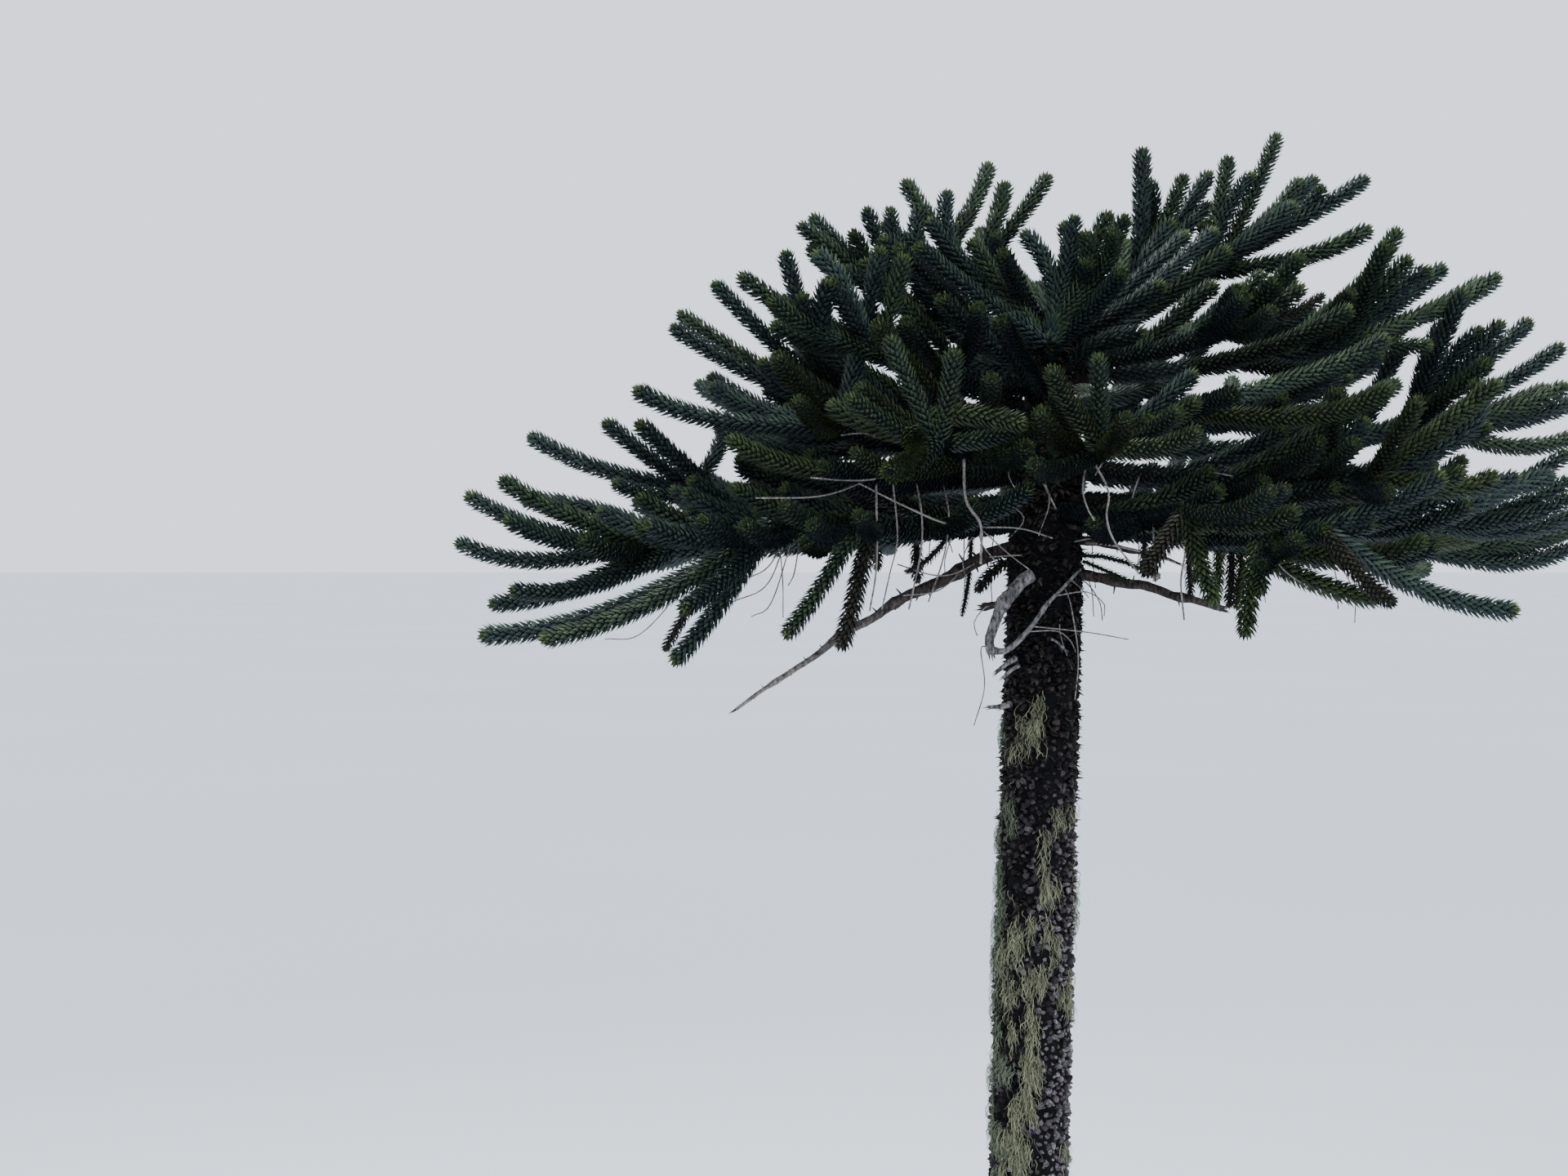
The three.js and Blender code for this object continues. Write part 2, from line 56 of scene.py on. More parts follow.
# Trunk: heights, radii and lean
DATUM = 5450  # height that the boughs' feet and ends are measured from
TRUNK_TOP = 6470
TRUNK_HEIGHTS = [0, 90, 220, 420, 800, 1700, 2970, 4430, 5450, 5900, 6200, TRUNK_TOP]
TRUNK_RADII = [186, 180, 175, 171, 168, 162, 152, 143, 137, 116, 76, 45]
LEAN = 149  # sideways shift of the trunk's middle at LEAN_HEIGHT
LEAN_HEIGHT = 6308
LEAN_POWER = 1.207
FLARE = 62  # extra radius of the root flare at the ground
FLARE_FADE = 230
FLARE_LOBES = 6
LOBE_DEPTH = 0.13
LOBE_TURN = 0.6

# Boughs
BOUGH_RADIUS = 15  # at the foot, before the part that grows with reach
BOUGH_RADIUS_PER_REACH = 0.008
LEAFY_FROM = 0.48  # part of a bough's length where its mass of foliage begins
BOUGH_SAG = 3  # degrees below the straight line at the foot
BOUGH_UPTURN = 8  # degrees above it at the outer end
BEND_REACH = 0.36  # how far a curve holds its end directions, per length

# The shoots that the solids show
SHOOT_RADIUS = 37
SHOOTS_PER_MASS = 6
CLEAR_OF_MASS = 2 * SHOOT_RADIUS + 6
CLEAR_OF_TRUNK = SHOOT_RADIUS + 12
CLEAR_OF_TOP = TRUNK_TOP + 60
FREE_FROM = 0.16  # part of a shoot from which it keeps clear of others
BOUGH_FREE_FROM = 0.12  # part of a bough from which others keep clear of it
BOUGH_SAMPLES = 24
SHOOT_SAMPLES = 14
PLACED_SAMPLES = 18
TURNS = [0, 7, -7, 14, -14, 21, -21, 28, -28]  # swings that a crowded shoot tries
TILTS = [0, 8, -8]
FOOT_CURL = 15  # how far below its line a level shoot sets off
TIP_CURL = 26  # how far above it a level shoot ends
RISING_STRAIGHT = 38  # lift at which a rising shoot has lost its curl
HANGING_STRAIGHT = 75
LEAST_CURL = 0.1
BASE_SWING = 1.25
TIP_SWING = 0.75
SIDE_FROM = 0.2
SIDE_SPAN = 0.75
SIDE_SWING = 66
SIDE_SWING_LOSS = 36
SWING_JITTER = 8
LIFT_JITTER = (-14, 12)
LENGTH_JITTER = (0.82, 1.08)
FIRST_SEED = 1000
SEED_STEP = 77


def bough(foot, end, azimuth, reach, lift, length, leaders, bare=True):
    """A bough: height of its foot and of its outer end above DATUM, azimuth in degrees
    from +X towards +Y, reach, lift and length of its side shoots, its leading shoots as
    [place along the leafy stretch, swing from the bough, lift, length], and whether its
    foot is bare of leaves."""
    return {
        "foot": foot, "end": end, "azimuth": azimuth, "reach": reach, "lift": lift,
        "length": length, "leaders": leaders, "bare": bare,
    }


BOUGHS = {
    "low_left": bough(200, 60, 181, 1700, 12, 560, [
        [1.0, -6, 2, 680], [1.0, -14, 18, 700], [0.8, 12, 22, 730], [1.0, 28, 12, 520],
        [0.9, 8, -19, 660], [0.8, 27, -13, 700],
    ]),
    "low_left_front": bough(235, 150, 214, 1330, 0, 520, [
        [1.0, -40, -21, 1180], [1.0, -30, -27, 950], [0.9, -7, -1, 570], [1.0, 5, -37, 520],
        [1.0, -21, -54, 630],
    ]),
    "low_left_back": bough(250, 310, 166, 1490, 25, 540, [
        [1.0, 6, 18, 720], [1.0, 24, 37, 450], [0.9, 49, 38, 440], [1.0, -127, 55, 280],
        [0.4, 40, 32, 330], [0.5, -54, 42, 360],
    ]),
    "low_front_left": bough(180, 150, 231, 1240, 8, 480, [
        [1.0, -38, -56, 490], [0.9, -22, -74, 460], [1.0, 4, 6, 480],
    ]),
    "low_front_right": bough(215, 180, 289, 1160, 8, 480, [
        [1.0, -87, -53, 260], [1.0, 38, -70, 330], [1.0, 10, 8, 480],
    ]),
    "low_right_front": bough(180, 110, 309, 1410, 4, 500, [
        [1.0, 55, -22, 750], [1.0, 5, -42, 370], [0.8, -71, -19, 310], [0.6, -84, -76, 360],
    ]),
    "low_right": bough(200, 150, 353, 1560, 12, 560, [
        [1.0, 7, 19, 530], [1.0, -11, 12, 490], [0.9, 13, 26, 670],
    ]),
    "low_right_back": bough(170, 60, 12, 1640, 5, 560, [
        [1.0, -7, 0, 630], [1.0, -18, 20, 510], [0.9, -1, 7, 760],
    ]),
    "low_back_right": bough(225, 260, 48, 1500, 12, 560, [[1.0, 4, 10, 640]]),
    "low_back_left": bough(210, 160, 130, 1480, 10, 560, [[1.0, -4, 12, 620]]),
    "mid_left_front": bough(430, 520, 216, 1110, 15, 540, [
        [1.0, -32, 10, 730], [1.0, -60, 18, 510], [0.9, 130, 70, 690],
    ]),
    "mid_left_back": bough(540, 640, 168, 900, 25, 560, [
        [1.0, 12, 27, 720], [1.0, -2, 32, 750], [0.9, 28, 43, 730], [1.0, 36, 72, 650],
        [0.5, 29, 22, 570], [0.5, -16, 44, 450],
    ]),
    "mid_front_left": bough(440, 435, 248, 1400, 18, 480, [
        [1.0, -49, 62, 390], [1.0, 44, 67, 320], [0.9, 87, 13, 300], [1.0, -17, -29, 220],
    ]),
    "mid_front": bough(470, 400, 271, 1500, 14, 480, [
        [1.0, -45, 41, 370], [1.0, -14, 62, 330], [1.0, 2, 10, 420],
    ]),
    "mid_right_front": bough(400, 330, 321, 1430, 15, 500, [
        [1.0, 50, -1, 550], [1.0, 18, 37, 530], [1.0, -31, 43, 360], [0.8, -62, 49, 390],
        [0.7, -42, 18, 370], [0.9, -46, -11, 360],
    ]),
    "mid_right": bough(450, 560, 3, 1560, 20, 560, [
        [1.0, -3, 16, 570], [1.0, -8, 31, 610], [0.9, -27, 49, 550], [0.9, -62, 61, 600],
        [1.0, 6, -4, 620], [0.9, -61, 30, 480],
    ]),
    "mid_back_right": bough(540, 740, 38, 1440, 18, 560, [[1.0, 0, 20, 620]]),
    "mid_back": bough(400, 480, 92, 1480, 15, 580, [[1.0, 0, 12, 640]]),
    "mid_back_left": bough(480, 600, 139, 1340, 20, 560, [[1.0, 0, 20, 620]]),
    "high_left": bough(700, 800, 222, 980, 30, 500, [
        [1.0, -42, 27, 580], [1.0, -17, 21, 460], [1.0, 0, 45, 340], [1.0, 108, 71, 360],
    ]),
    "high_left_back": bough(760, 1080, 152, 660, 35, 500, [
        [1.0, 19, 44, 520], [1.0, 39, 36, 530], [1.0, 43, 68, 410], [0.9, -130, 59, 710],
    ]),
    "high_back_left": bough(850, 1200, 125, 500, 45, 470, [
        [1.0, 65, 38, 430], [1.0, 45, 55, 490], [1.0, -93, 75, 430], [0.9, -137, 55, 520],
    ]),
    "high_back_right": bough(880, 1240, 48, 680, 45, 480, [
        [1.0, -36, 56, 500], [0.9, -68, 66, 440], [0.8, -48, 88, 540],
    ]),
    "high_right_back": bough(820, 1270, 26, 840, 45, 520, [
        [1.0, -31, 29, 670], [1.0, -15, 40, 530], [1.0, -26, 66, 560], [0.8, 6, 76, 490],
        [0.8, -40, 13, 670],
    ]),
    "high_right_front": bough(780, 900, 312, 950, 32, 480, [
        [0.9, 26, 27, 300], [1.0, -8, 35, 370], [0.9, -15, 27, 310], [0.9, -30, 3, 390],
        [0.8, -34, 33, 240],
    ]),
    "high_right": bough(740, 900, 352, 1240, 25, 540, [
        [1.0, 8, 24, 560], [0.9, 22, 36, 510], [0.8, -3, 60, 510], [0.5, -5, 42, 490],
        [0.8, -30, 44, 450], [0.7, -63, 36, 330],
    ]),
    "high_front": bough(860, 860, 262, 340, 40, 440, [
        [1.0, -72, 35, 630], [0.8, -86, 53, 500], [1.0, 87, 78, 490], [1.0, 112, 64, 560],
        [0.9, 82, 58, 560],
    ], bare=False),
}

DEAD_LIMBS = {
    "dead_limb_long": {
        "foot": 105, "azimuth": 191, "reach": 1270, "tip": -575, "slopes": [-14, -34], "radii": [32, 6],
    },
    "dead_stub_right_high": {
        "foot": 100, "azimuth": 352, "reach": 525, "tip": 2, "slopes": [-4, -18], "radii": [20, 5],
    },
    "dead_stub_right_low": {
        "foot": -20, "azimuth": 350, "reach": 705, "tip": -180, "slopes": [-8, -17], "radii": [25, 14],
    },
    "dead_stub_left": {
        "foot": -150, "azimuth": 195, "reach": 262, "tip": -176, "slopes": [-2, -14], "radii": [22, 13],
    },
}


# Leaves
LEAF_LENGTH = 42
LEAF_WIDTH = 21
LEAF_SPACING = 1.8  # along the stem, from one leaf to the next
TIP_SPACING = 0.6
TIP_CROWDING = 24  # length at the tip over which leaves are crowded
LEAF_ANGLE = 50  # from the stem
TIP_ANGLE = 4
TIP_BEND = 16  # length at the tip over which leaves close up
GOLDEN_ANGLE = math.radians(137.508)
STEM_RADIUS = 20
STEM_TIP_RADIUS = 13
BOUGH_STEM_RADIUS = 22
BOUGH_BARE = 0.13  # part of a bough's length with no leaves
YOUNG_LENGTH = 22  # length of fresh growth at a shoot's tip
TIP_LEAF = 0.72  # size of the leaves at the tip, as part of full size
TIP_LEAF_REACH = 30  # distance from the tip at which they have full size
STEM_STEP = 60  # from ring to ring of a stem
STEM_SHORT = 8  # how far short of the leaves' tip it ends
STEM_SIDES = 6
STEM_SHARE = 0.9  # its radius, as part of the radius that the leaves are placed by
STEM_TAPER = 40  # length at the tip over which a stem gets thinner
LEAF_FOOT = 0.78  # part of that radius at which a leaf starts
# The leaf's own outline: across in widths, along in lengths, and out in widths
LEAF_OUTLINE = np.array([
    (0.0, 0.0, 0.0), (-0.5, 0.3, 0.0), (0.5, 0.3, 0.0), (0.0, 0.36, 0.3), (0.0, 1.0, -0.16),
])
LEAF_FACES = np.array([(0, 3, 2), (0, 1, 3), (1, 4, 3), (2, 3, 4)])
MOST_TRIANGLES = 195000  # in one piece


# Camera, light and floor

SKY_COLOUR = (0.84, 0.91, 1.0, 1.0)
SKY_STRENGTH = 1.7
KEY_POWER = 720
BACK_POWER = 1600
FLOOR_HALF = 1500


def make_camera():
    data = bpy.data.cameras.new("camera")
    data.sensor_width = SENSOR
    data.lens = SENSOR * FOCAL_PIXELS / PHOTO_WIDTH
    data.clip_end = 3000
    camera = bpy.data.objects.new("camera", data)
    camera.location = CAMERA_PLACE
    camera.rotation_euler = (math.pi / 2 - DIP, 0, 0)
    bpy.context.scene.collection.objects.link(camera)
    bpy.context.scene.camera = camera


def area_light(name, place, aim, side, power):
    data = bpy.data.lights.new(name, "AREA")
    data.size = side
    data.energy = power
    light = bpy.data.objects.new(name, data)
    light.location = place
    toward = np.array(aim, float) - np.array(place, float)
    across = math.atan2(toward[1], toward[0])
    down = math.atan2(-toward[2], math.hypot(toward[0], toward[1]))
    light.rotation_euler = (math.pi / 2 - down, 0, across - math.pi / 2)
    bpy.context.scene.collection.objects.link(light)


def make_light():
    world = bpy.data.worlds.new("studio")
    world.use_nodes = True
    background = world.node_tree.nodes["Background"]
    background.inputs["Color"].default_value = SKY_COLOUR
    background.inputs["Strength"].default_value = SKY_STRENGTH
    bpy.context.scene.world = world
    crown = (0, 0, 6)
    area_light("key", (5, -7, 13), crown, 6, KEY_POWER)
    area_light("back", (-5, 8, 14), crown, 8, BACK_POWER)


def make_floor():
    mesh = bpy.data.meshes.new("floor")
    turns = [(-1, -1), (1, -1), (1, 1), (-1, 1)]
    mesh.from_pydata([(x * FLOOR_HALF, y * FLOOR_HALF, 0) for x, y in turns], [], [(0, 1, 2, 3)])
    floor = bpy.data.objects.new("floor", mesh)
    bpy.context.scene.collection.objects.link(floor)
    surface = Surface("floor")
    tint = surface.ramp(surface.noise(0.05, 2), (0.76, 0.8, 0.85), (0.79, 0.83, 0.88))
    surface.feed("Base Color", tint)
    surface.feed("Roughness", 0.9)
    mesh.materials.append(surface.material)


# Materials

DULL = 0.12  # specular level of bark and wood
LEATHERY = 0.28  # and of leaves
PLAIN = 0.5
RAMP_ENDS = (0.35, 0.65)  # of a noise, where its two colours are reached
MARKS = "marks"  # the attribute with the three marks of each point
MIDDLE_MARKS = (0.5, 0.5, 0.5)


def srgb(red, green, blue):
    """A display colour, 0 to 255, as the linear numbers that a shader takes."""
    parts = np.array([red, green, blue]) / 255
    linear = np.where(parts <= 0.04045, parts / 12.92, ((parts + 0.055) / 1.055) ** 2.4)
    return tuple(float(part) for part in linear)


class Surface:
    """A material in the making. A method that adds nodes returns their output."""

    def __init__(self, name):
        self.material = bpy.data.materials.new(name)
        self.material.use_nodes = True
        self.tree = self.material.node_tree
        self.shader = self.tree.nodes["Principled BSDF"]

    def feed(self, place, value, node=None):
        """Sets an input of a node, or of the shader, to a value or to an output."""
        socket = (node or self.shader).inputs[place]
        if isinstance(value, bpy.types.NodeSocket):
            self.tree.links.new(value, socket)
        elif socket.type == "RGBA":
            socket.default_value = (*value, 1)
        else:
            socket.default_value = value

    def node(self, kind, inputs):
        node = self.tree.nodes.new("ShaderNode" + kind)
        for place, value in inputs.items():
            self.feed(place, value, node)
        return node

    def noise(self, scale, detail, stretch=(1, 1, 1)):
        """Noise over the object's own coordinates, in metres."""
        place = self.node("TexCoord", {}).outputs["Object"]
        place = self.node("Mapping", {"Vector": place, "Scale": stretch}).outputs["Vector"]
        noise = self.node("TexNoise", {"Vector": place, "Scale": scale, "Detail": detail})
        return noise.outputs["Fac"]

    def ramp(self, source, dark, light):
        ramp = self.node("ValToRGB", {"Fac": source})
        for end, position, colour in zip(ramp.color_ramp.elements, RAMP_ENDS, (dark, light)):
            end.position = position
            end.color = (*colour, 1)
        return ramp.outputs["Color"]

    def spread(self, source, low, high, start=0.3, end=0.7):
        """The source from start to end, spread over low to high."""
        return self.node("MapRange", {
            "Value": source, "From Min": start, "From Max": end, "To Min": low, "To Max": high,
        }).outputs["Result"]

    def mix(self, share, first, second):
        """first mixed with second by share."""
        mix = self.node("Mix", {})
        mix.data_type = "RGBA"
        for place, value in ((0, share), (6, first), (7, second)):
            self.feed(place, value, mix)
        return mix.outputs[2]

    def marks(self):
        """The three marks of each point: place from base to tip, a lot from 0 to 1 that a
        leaf, knob or strand has to itself, and how far up a leaf's side of its shoot
        faces, for painted shade and light, or how grey a knob is: weathered, and lit as painted light."""
        attribute = self.node("Attribute", {})
        attribute.attribute_name = MARKS
        return self.node("SeparateXYZ", {"Vector": attribute.outputs["Vector"]}).outputs

    def closed(self, colour, grain, roughness, relief, depth, specular, strength=1.0):
        """The material with its colour, its roughness spread by grain, and its relief."""
        bump = self.node("Bump", {"Strength": strength, "Distance": depth, "Height": relief})
        self.feed("Base Color", colour)
        self.feed("Roughness", self.spread(grain, *roughness))
        self.feed("Normal", bump.outputs["Normal"])
        self.feed("Specular IOR Level", specular)
        return self.material


def leaf_material(name, dark, light, tip):
    """Leathery blades: mottled along the branch, paler at the point, with painted shade where a leaf's
    side of its shoot faces down and a painted highlight of the pale point colour where it faces up.
    """
    surface = Surface(name)
    along, lot, facing = surface.marks()
    body = surface.ramp(surface.noise(11, 3), dark, light)
    body = surface.mix(lot, surface.mix(0.55, body, dark), body)
    # painted shade: leaves go to the dark colour as their side of the shoot faces down
    shade = surface.spread(facing, 0.7, 0.0, 0.2, 0.8)
    body = surface.mix(shade, body, dark)
    # painted highlight: the pale point colour shows only on the shoot's upward side
    tips = surface.mix(shade, surface.mix(lot, light, tip), light)
    body = surface.mix(surface.spread(along, 0.0, 0.9, 0.3, 0.95), body, tips)
    return surface.closed(
        body, surface.noise(90, 2), (0.5, 0.68), surface.noise(420, 2), 0.0015, LEATHERY, 0.5)


def wood_material(name, dark, light, patch, scale, far=None):
    """Bark or wood: fine mottle of dark and light, with patches of a third colour. far is
    the colour at the outer end of a limb, if it changes."""
    surface = Surface(name)
    grain = surface.noise(scale, 5, (1, 1, 0.45))
    body = surface.ramp(grain, dark, light)
    if far:
        outward = surface.spread(surface.marks()[0], 0.0, 1.0, 0.45, 0.95)
        body = surface.mix(outward, body, surface.ramp(grain, light, far))
    cover = surface.spread(surface.noise(scale * 0.23, 4), 0.0, 0.6, 0.5, 0.7)
    body = surface.mix(cover, body, patch)
    return surface.closed(body, grain, (0.8, 0.95), grain, 0.004, DULL)


def knob_material(name):
    """Knobs of the bark: painted shade round the foot, in the gaps between knobs, and their tops from
    near black to grey, the grey partly weathering and partly painted light.
    """
    surface = Surface(name)
    rise, lot, grey = surface.marks()
    mottle = surface.noise(130, 4)
    bright = surface.spread(lot, 0.0, 1.0, 0.4, 1.0)
    fresh = surface.mix(bright, srgb(12, 11, 13), srgb(78, 68, 66))
    # grey tops: weathered patches, and painted light on the lit side
    weathered_and_lit = surface.mix(lot, srgb(44, 40, 44), srgb(146, 138, 143))
    top = surface.mix(grey, fresh, weathered_and_lit)
    top = surface.mix(surface.spread(mottle, 0.0, 0.75, 0.42, 0.62), top, srgb(24, 21, 25))
    # painted shade: each knob goes near black towards its foot, in the gaps between knobs
    body = surface.mix(surface.spread(rise, 0.0, 1.0, 0.1, 0.65), srgb(5, 4, 6), top)
    return surface.closed(body, mottle, (0.75, 0.95), mottle, 0.004, DULL)


def lichen_material(name, dark, light):
    """Strands of lichen, each with a tone of its own."""
    surface = Surface(name)
    mottle = surface.noise(60, 4)
    tone = surface.mix(surface.marks()[1], dark, light)
    body = surface.mix(surface.spread(mottle, 0.0, 0.6), tone, dark)
    return surface.closed(body, mottle, (0.75, 0.95), mottle, 0.002, PLAIN)


# Meshes

class Heap:
    """Points and faces gathered for one piece, with three marks on each point."""

    def __init__(self):
        self.points = []
        self.marks = []
        self.faces = []
        self.size = 0
        self.triangles = 0

    def add(self, points, marks, *faces):
        points = np.asarray(points, float).reshape(-1, 3)
        self.points.append(points)
        self.marks.append(np.broadcast_to(np.asarray(marks, float), points.shape))
        for group in faces:
            group = np.asarray(group)
            self.faces.append(group + self.size)
            self.triangles += len(group) * (group.shape[1] - 2)
        self.size += len(points)


def make_piece(name, heap, material, nodes, smooth=True):
    """One mesh object from a heap, in metres, that replaces these CAD nodes."""
    mesh = bpy.data.meshes.new(name)
    points = np.concatenate(heap.points) * MM
    marks = np.concatenate(heap.marks)
    sizes = np.concatenate([np.full(len(group), group.shape[1]) for group in heap.faces])
    corners = np.concatenate([group.ravel() for group in heap.faces])
    mesh.vertices.add(len(points))
    mesh.vertices.foreach_set("co", points.ravel())
    mesh.loops.add(len(corners))
    mesh.loops.foreach_set("vertex_index", corners)
    mesh.polygons.add(len(sizes))
    mesh.polygons.foreach_set("loop_start", np.concatenate([[0], np.cumsum(sizes)[:-1]]))
    mesh.polygons.foreach_set("use_smooth", np.full(len(sizes), smooth))
    mesh.attributes.new(MARKS, "FLOAT_VECTOR", "POINT").data.foreach_set("vector", marks.ravel())
    mesh.update(calc_edges=True)
    mesh.validate()
    mesh.materials.append(material)
    piece = bpy.data.objects.new(name, mesh)
    bpy.context.scene.collection.objects.link(piece)
    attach(piece, "root")
    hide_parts(*nodes)
    print(f"{name}: {heap.triangles} triangles")


def ring_faces(rings, sides, first=0):
    """Quads between rings of points that close on themselves."""
    r, s = np.meshgrid(np.arange(rings - 1), np.arange(sides), indexing="ij")
    a = (first + r * sides + s).ravel()
    b = (first + r * sides + (s + 1) % sides).ravel()
    return np.stack([a, b, b + sides, a + sides], axis=1)


def cap_faces(ring, sides, pole, flip):
    """Triangles from a ring, given by its first point, to a pole."""
    a = ring + np.arange(sides)
    b = ring + (np.arange(sides) + 1) % sides
    poles = np.full(sides, pole)
    return np.stack([b, a, poles] if flip else [a, b, poles], axis=1)


def repeated(faces, count, corners):
    """The faces of one small shape, for count shapes with so many corners each."""
    first = (np.arange(count) * corners)[:, None, None]
    return (faces[None] + first).reshape(-1, faces.shape[1])


def around(angles, across, up):
    """Directions at these angles round an axis, from its two side directions."""
    return np.cos(angles)[..., None] * across + np.sin(angles)[..., None] * up


def add_closed(heap, rings, poles, marks):
    """A closed skin over rings of points, from the first pole to the last."""
    count, sides = rings.shape[:2]
    start = count * sides
    heap.add(
        np.concatenate([rings.reshape(-1, 3), poles]), marks, ring_faces(count, sides),
        cap_faces(0, sides, start, True), cap_faces(start - sides, sides, start + 1, False))


def add_tube(heap, path, distances, radii, sides, marks=MIDDLE_MARKS, bulge=1.0):
    """A closed tube round a path. bulge multiplies the radius of each point."""
    place, ahead, across, up = path.frame_at(distances)
    angles = 2 * math.pi * np.arange(sides) / sides
    reach = np.asarray(radii, float)[:, None] * np.ones(sides) * bulge
    out = around(angles, across[:, None], up[:, None])
    poles = np.stack([
        place[0] - ahead[0] * radii[0] * 0.3,
        place[-1] + ahead[-1] * radii[-1] * 0.6,
    ])
    add_closed(heap, place[:, None] + reach[..., None] * out, poles, marks)


def add_spike(heap, base, tip, radii, sides, marks=MIDDLE_MARKS):
    """A straight tube with these radii from base to tip."""
    path = Path(np.linspace(base, tip, len(radii)))
    add_tube(heap, path, np.linspace(0, path.length, len(radii)), radii, sides, marks)


def marks_along(part, sides):
    """Marks of a tube whose first mark goes with the rings, from base to tip."""
    marks = np.zeros((len(part) * sides + 2, 3))
    marks[:-2, 0] = np.repeat(part, sides)
    marks[-1, 0] = part[-1]
    return marks


# Curves

def unit(rows):
    return rows / np.linalg.norm(rows, axis=-1, keepdims=True)


def trunk_middle(height):
    return LEAN * (np.maximum(height, 0) / LEAN_HEIGHT) ** LEAN_POWER


def trunk_radius(height):
    return np.interp(height, TRUNK_HEIGHTS, TRUNK_RADII)


def direction(azimuth, elevation):
    a = math.radians(azimuth)
    e = math.radians(elevation)
    return np.array([math.cos(a) * math.cos(e), math.sin(a) * math.cos(e), math.sin(e)])


def sweep(base, tip, start, end, handle):
    """Control points of a curve from base to tip that sets off along start and arrives
    along end."""
    return np.array([base, base + start * handle, tip - end * handle, tip])


def on_curve(curve, parts):
    """Points of a curve at these parts of it."""
    t = np.asarray(parts, float)[:, None]
    rows = [np.broadcast_to(point, (len(t), 3)) for point in curve]
    while len(rows) > 1:
        rows = [a + (b - a) * t for a, b in zip(rows, rows[1:])]
    return rows[0]


def limb_curve(row, rise, first_slope, last_slope):
    """A limb from the trunk's middle that rises so much in all, by its two end slopes."""
    height = DATUM + row["foot"]
    base = np.array([trunk_middle(height), 0, height])
    tip = base + direction(row["azimuth"], 0) * row["reach"] + np.array([0, 0, rise])
    start = direction(row["azimuth"], first_slope)
    end = direction(row["azimuth"], last_slope)
    return sweep(base, tip, start, end, BEND_REACH * row["reach"])


def bough_curve(row):
    rise = row["end"] - row["foot"]
    slope = math.degrees(math.atan2(rise, row["reach"]))
    return limb_curve(row, rise, slope - BOUGH_SAG, slope + BOUGH_UPTURN)


def curl_of(lift):
    """Share of the curl that a shoot of this lift keeps."""
    straight = RISING_STRAIGHT if lift > 0 else HANGING_STRAIGHT
    return max(LEAST_CURL, 1 - abs(lift) / straight)


def shoot_curve(base, azimuth, swing, lift, length):
    curl = curl_of(lift)
    start = direction(azimuth + BASE_SWING * swing, lift - FOOT_CURL * curl)
    end = direction(azimuth + TIP_SWING * swing, lift + TIP_CURL * curl)
    tip = base + direction(azimuth + swing, lift) * length
    return sweep(base, tip, start, end, BEND_REACH * length)


ASKEW = np.array([0.31, 0.22, 0.93])  # a direction that no limb or shoot follows


class Path:
    """A line through points, with a frame carried along it without twist."""

    def __init__(self, points):
        self.points = np.asarray(points, float)
        steps = np.linalg.norm(np.diff(self.points, axis=0), axis=1)
        self.marks = np.concatenate([[0.0], np.cumsum(steps)])
        self.length = self.marks[-1]
        self.ahead = unit(np.gradient(self.points, axis=0))
        side = np.cross(ASKEW, self.ahead[0])
        across = []
        for ahead in self.ahead:
            side = side - ahead * (side @ ahead)
            side = side / np.linalg.norm(side)
            across.append(side)
        self.across = np.array(across)

    def frame_at(self, distances):
        """Places, and the directions ahead, across and up, at these distances."""
        def between(rows):
            return np.stack([np.interp(distances, self.marks, rows[:, k]) for k in range(3)], axis=1)
        ahead = unit(between(self.ahead))
        across = between(self.across)
        across = unit(across - ahead * np.sum(across * ahead, axis=1, keepdims=True))
        return between(self.points), ahead, across, np.cross(ahead, across)


def path_of(curve, steps=28):
    return Path(on_curve(curve, np.linspace(0, 1, steps + 1)))


# Growing rule: which shoots each bough carries

def dice(seed):
    """Repeatable random numbers from 0 to 1."""
    state = seed

    def draw():
        nonlocal state
        state = (state * 1664525 + 1013904223) % 4294967296
        return state / 4294967296
    return draw


class Crowd:
    """Points already taken by boughs and shoots, each with its bough's number."""

    def __init__(self):
        self.points = np.zeros((0, 3))
        self.owners = np.zeros(0, int)

    def add(self, curve, first, samples, owner):
        """Takes up samples of a curve, from its first part that counts."""
        points = on_curve(curve, np.linspace(first, 1, samples))
        self.points = np.concatenate([self.points, points])
        self.owners = np.concatenate([self.owners, np.full(samples, owner)])

    def is_clear(self, points, limit, but=None):
        """Whether points keep this far from all others, or from all but one bough's."""
        near = np.all(self.points > points.min(0) - limit, axis=1)
        near &= np.all(self.points < points.max(0) + limit, axis=1)
        if but is not None:
            near &= self.owners != but
        others = self.points[near]
        if len(others) == 0:
            return True
        gaps = np.sum((points[:, None] - others[None]) ** 2, axis=2)
        return gaps.min() >= limit * limit


def is_clear_of_trunk(points):
    x, y, z = points.T
    apart = np.hypot(x - trunk_middle(z), y) > trunk_radius(z) + CLEAR_OF_TRUNK
    return bool(np.all((z > CLEAR_OF_TOP) | apart))


class Shoot:
    """One leafy shoot: the bough it grows on, its curve, the way it heads and rises, its
    size beside others, and its colour if it is not left to chance."""

    def __init__(self, bough, curve, heading, lift, size=1.0, colour=None):
        self.bough = bough
        self.curve = curve
        self.heading = heading
        self.lift = lift
        self.size = size
        self.colour = colour
        self.length = float(np.linalg.norm(curve[3] - curve[0]))


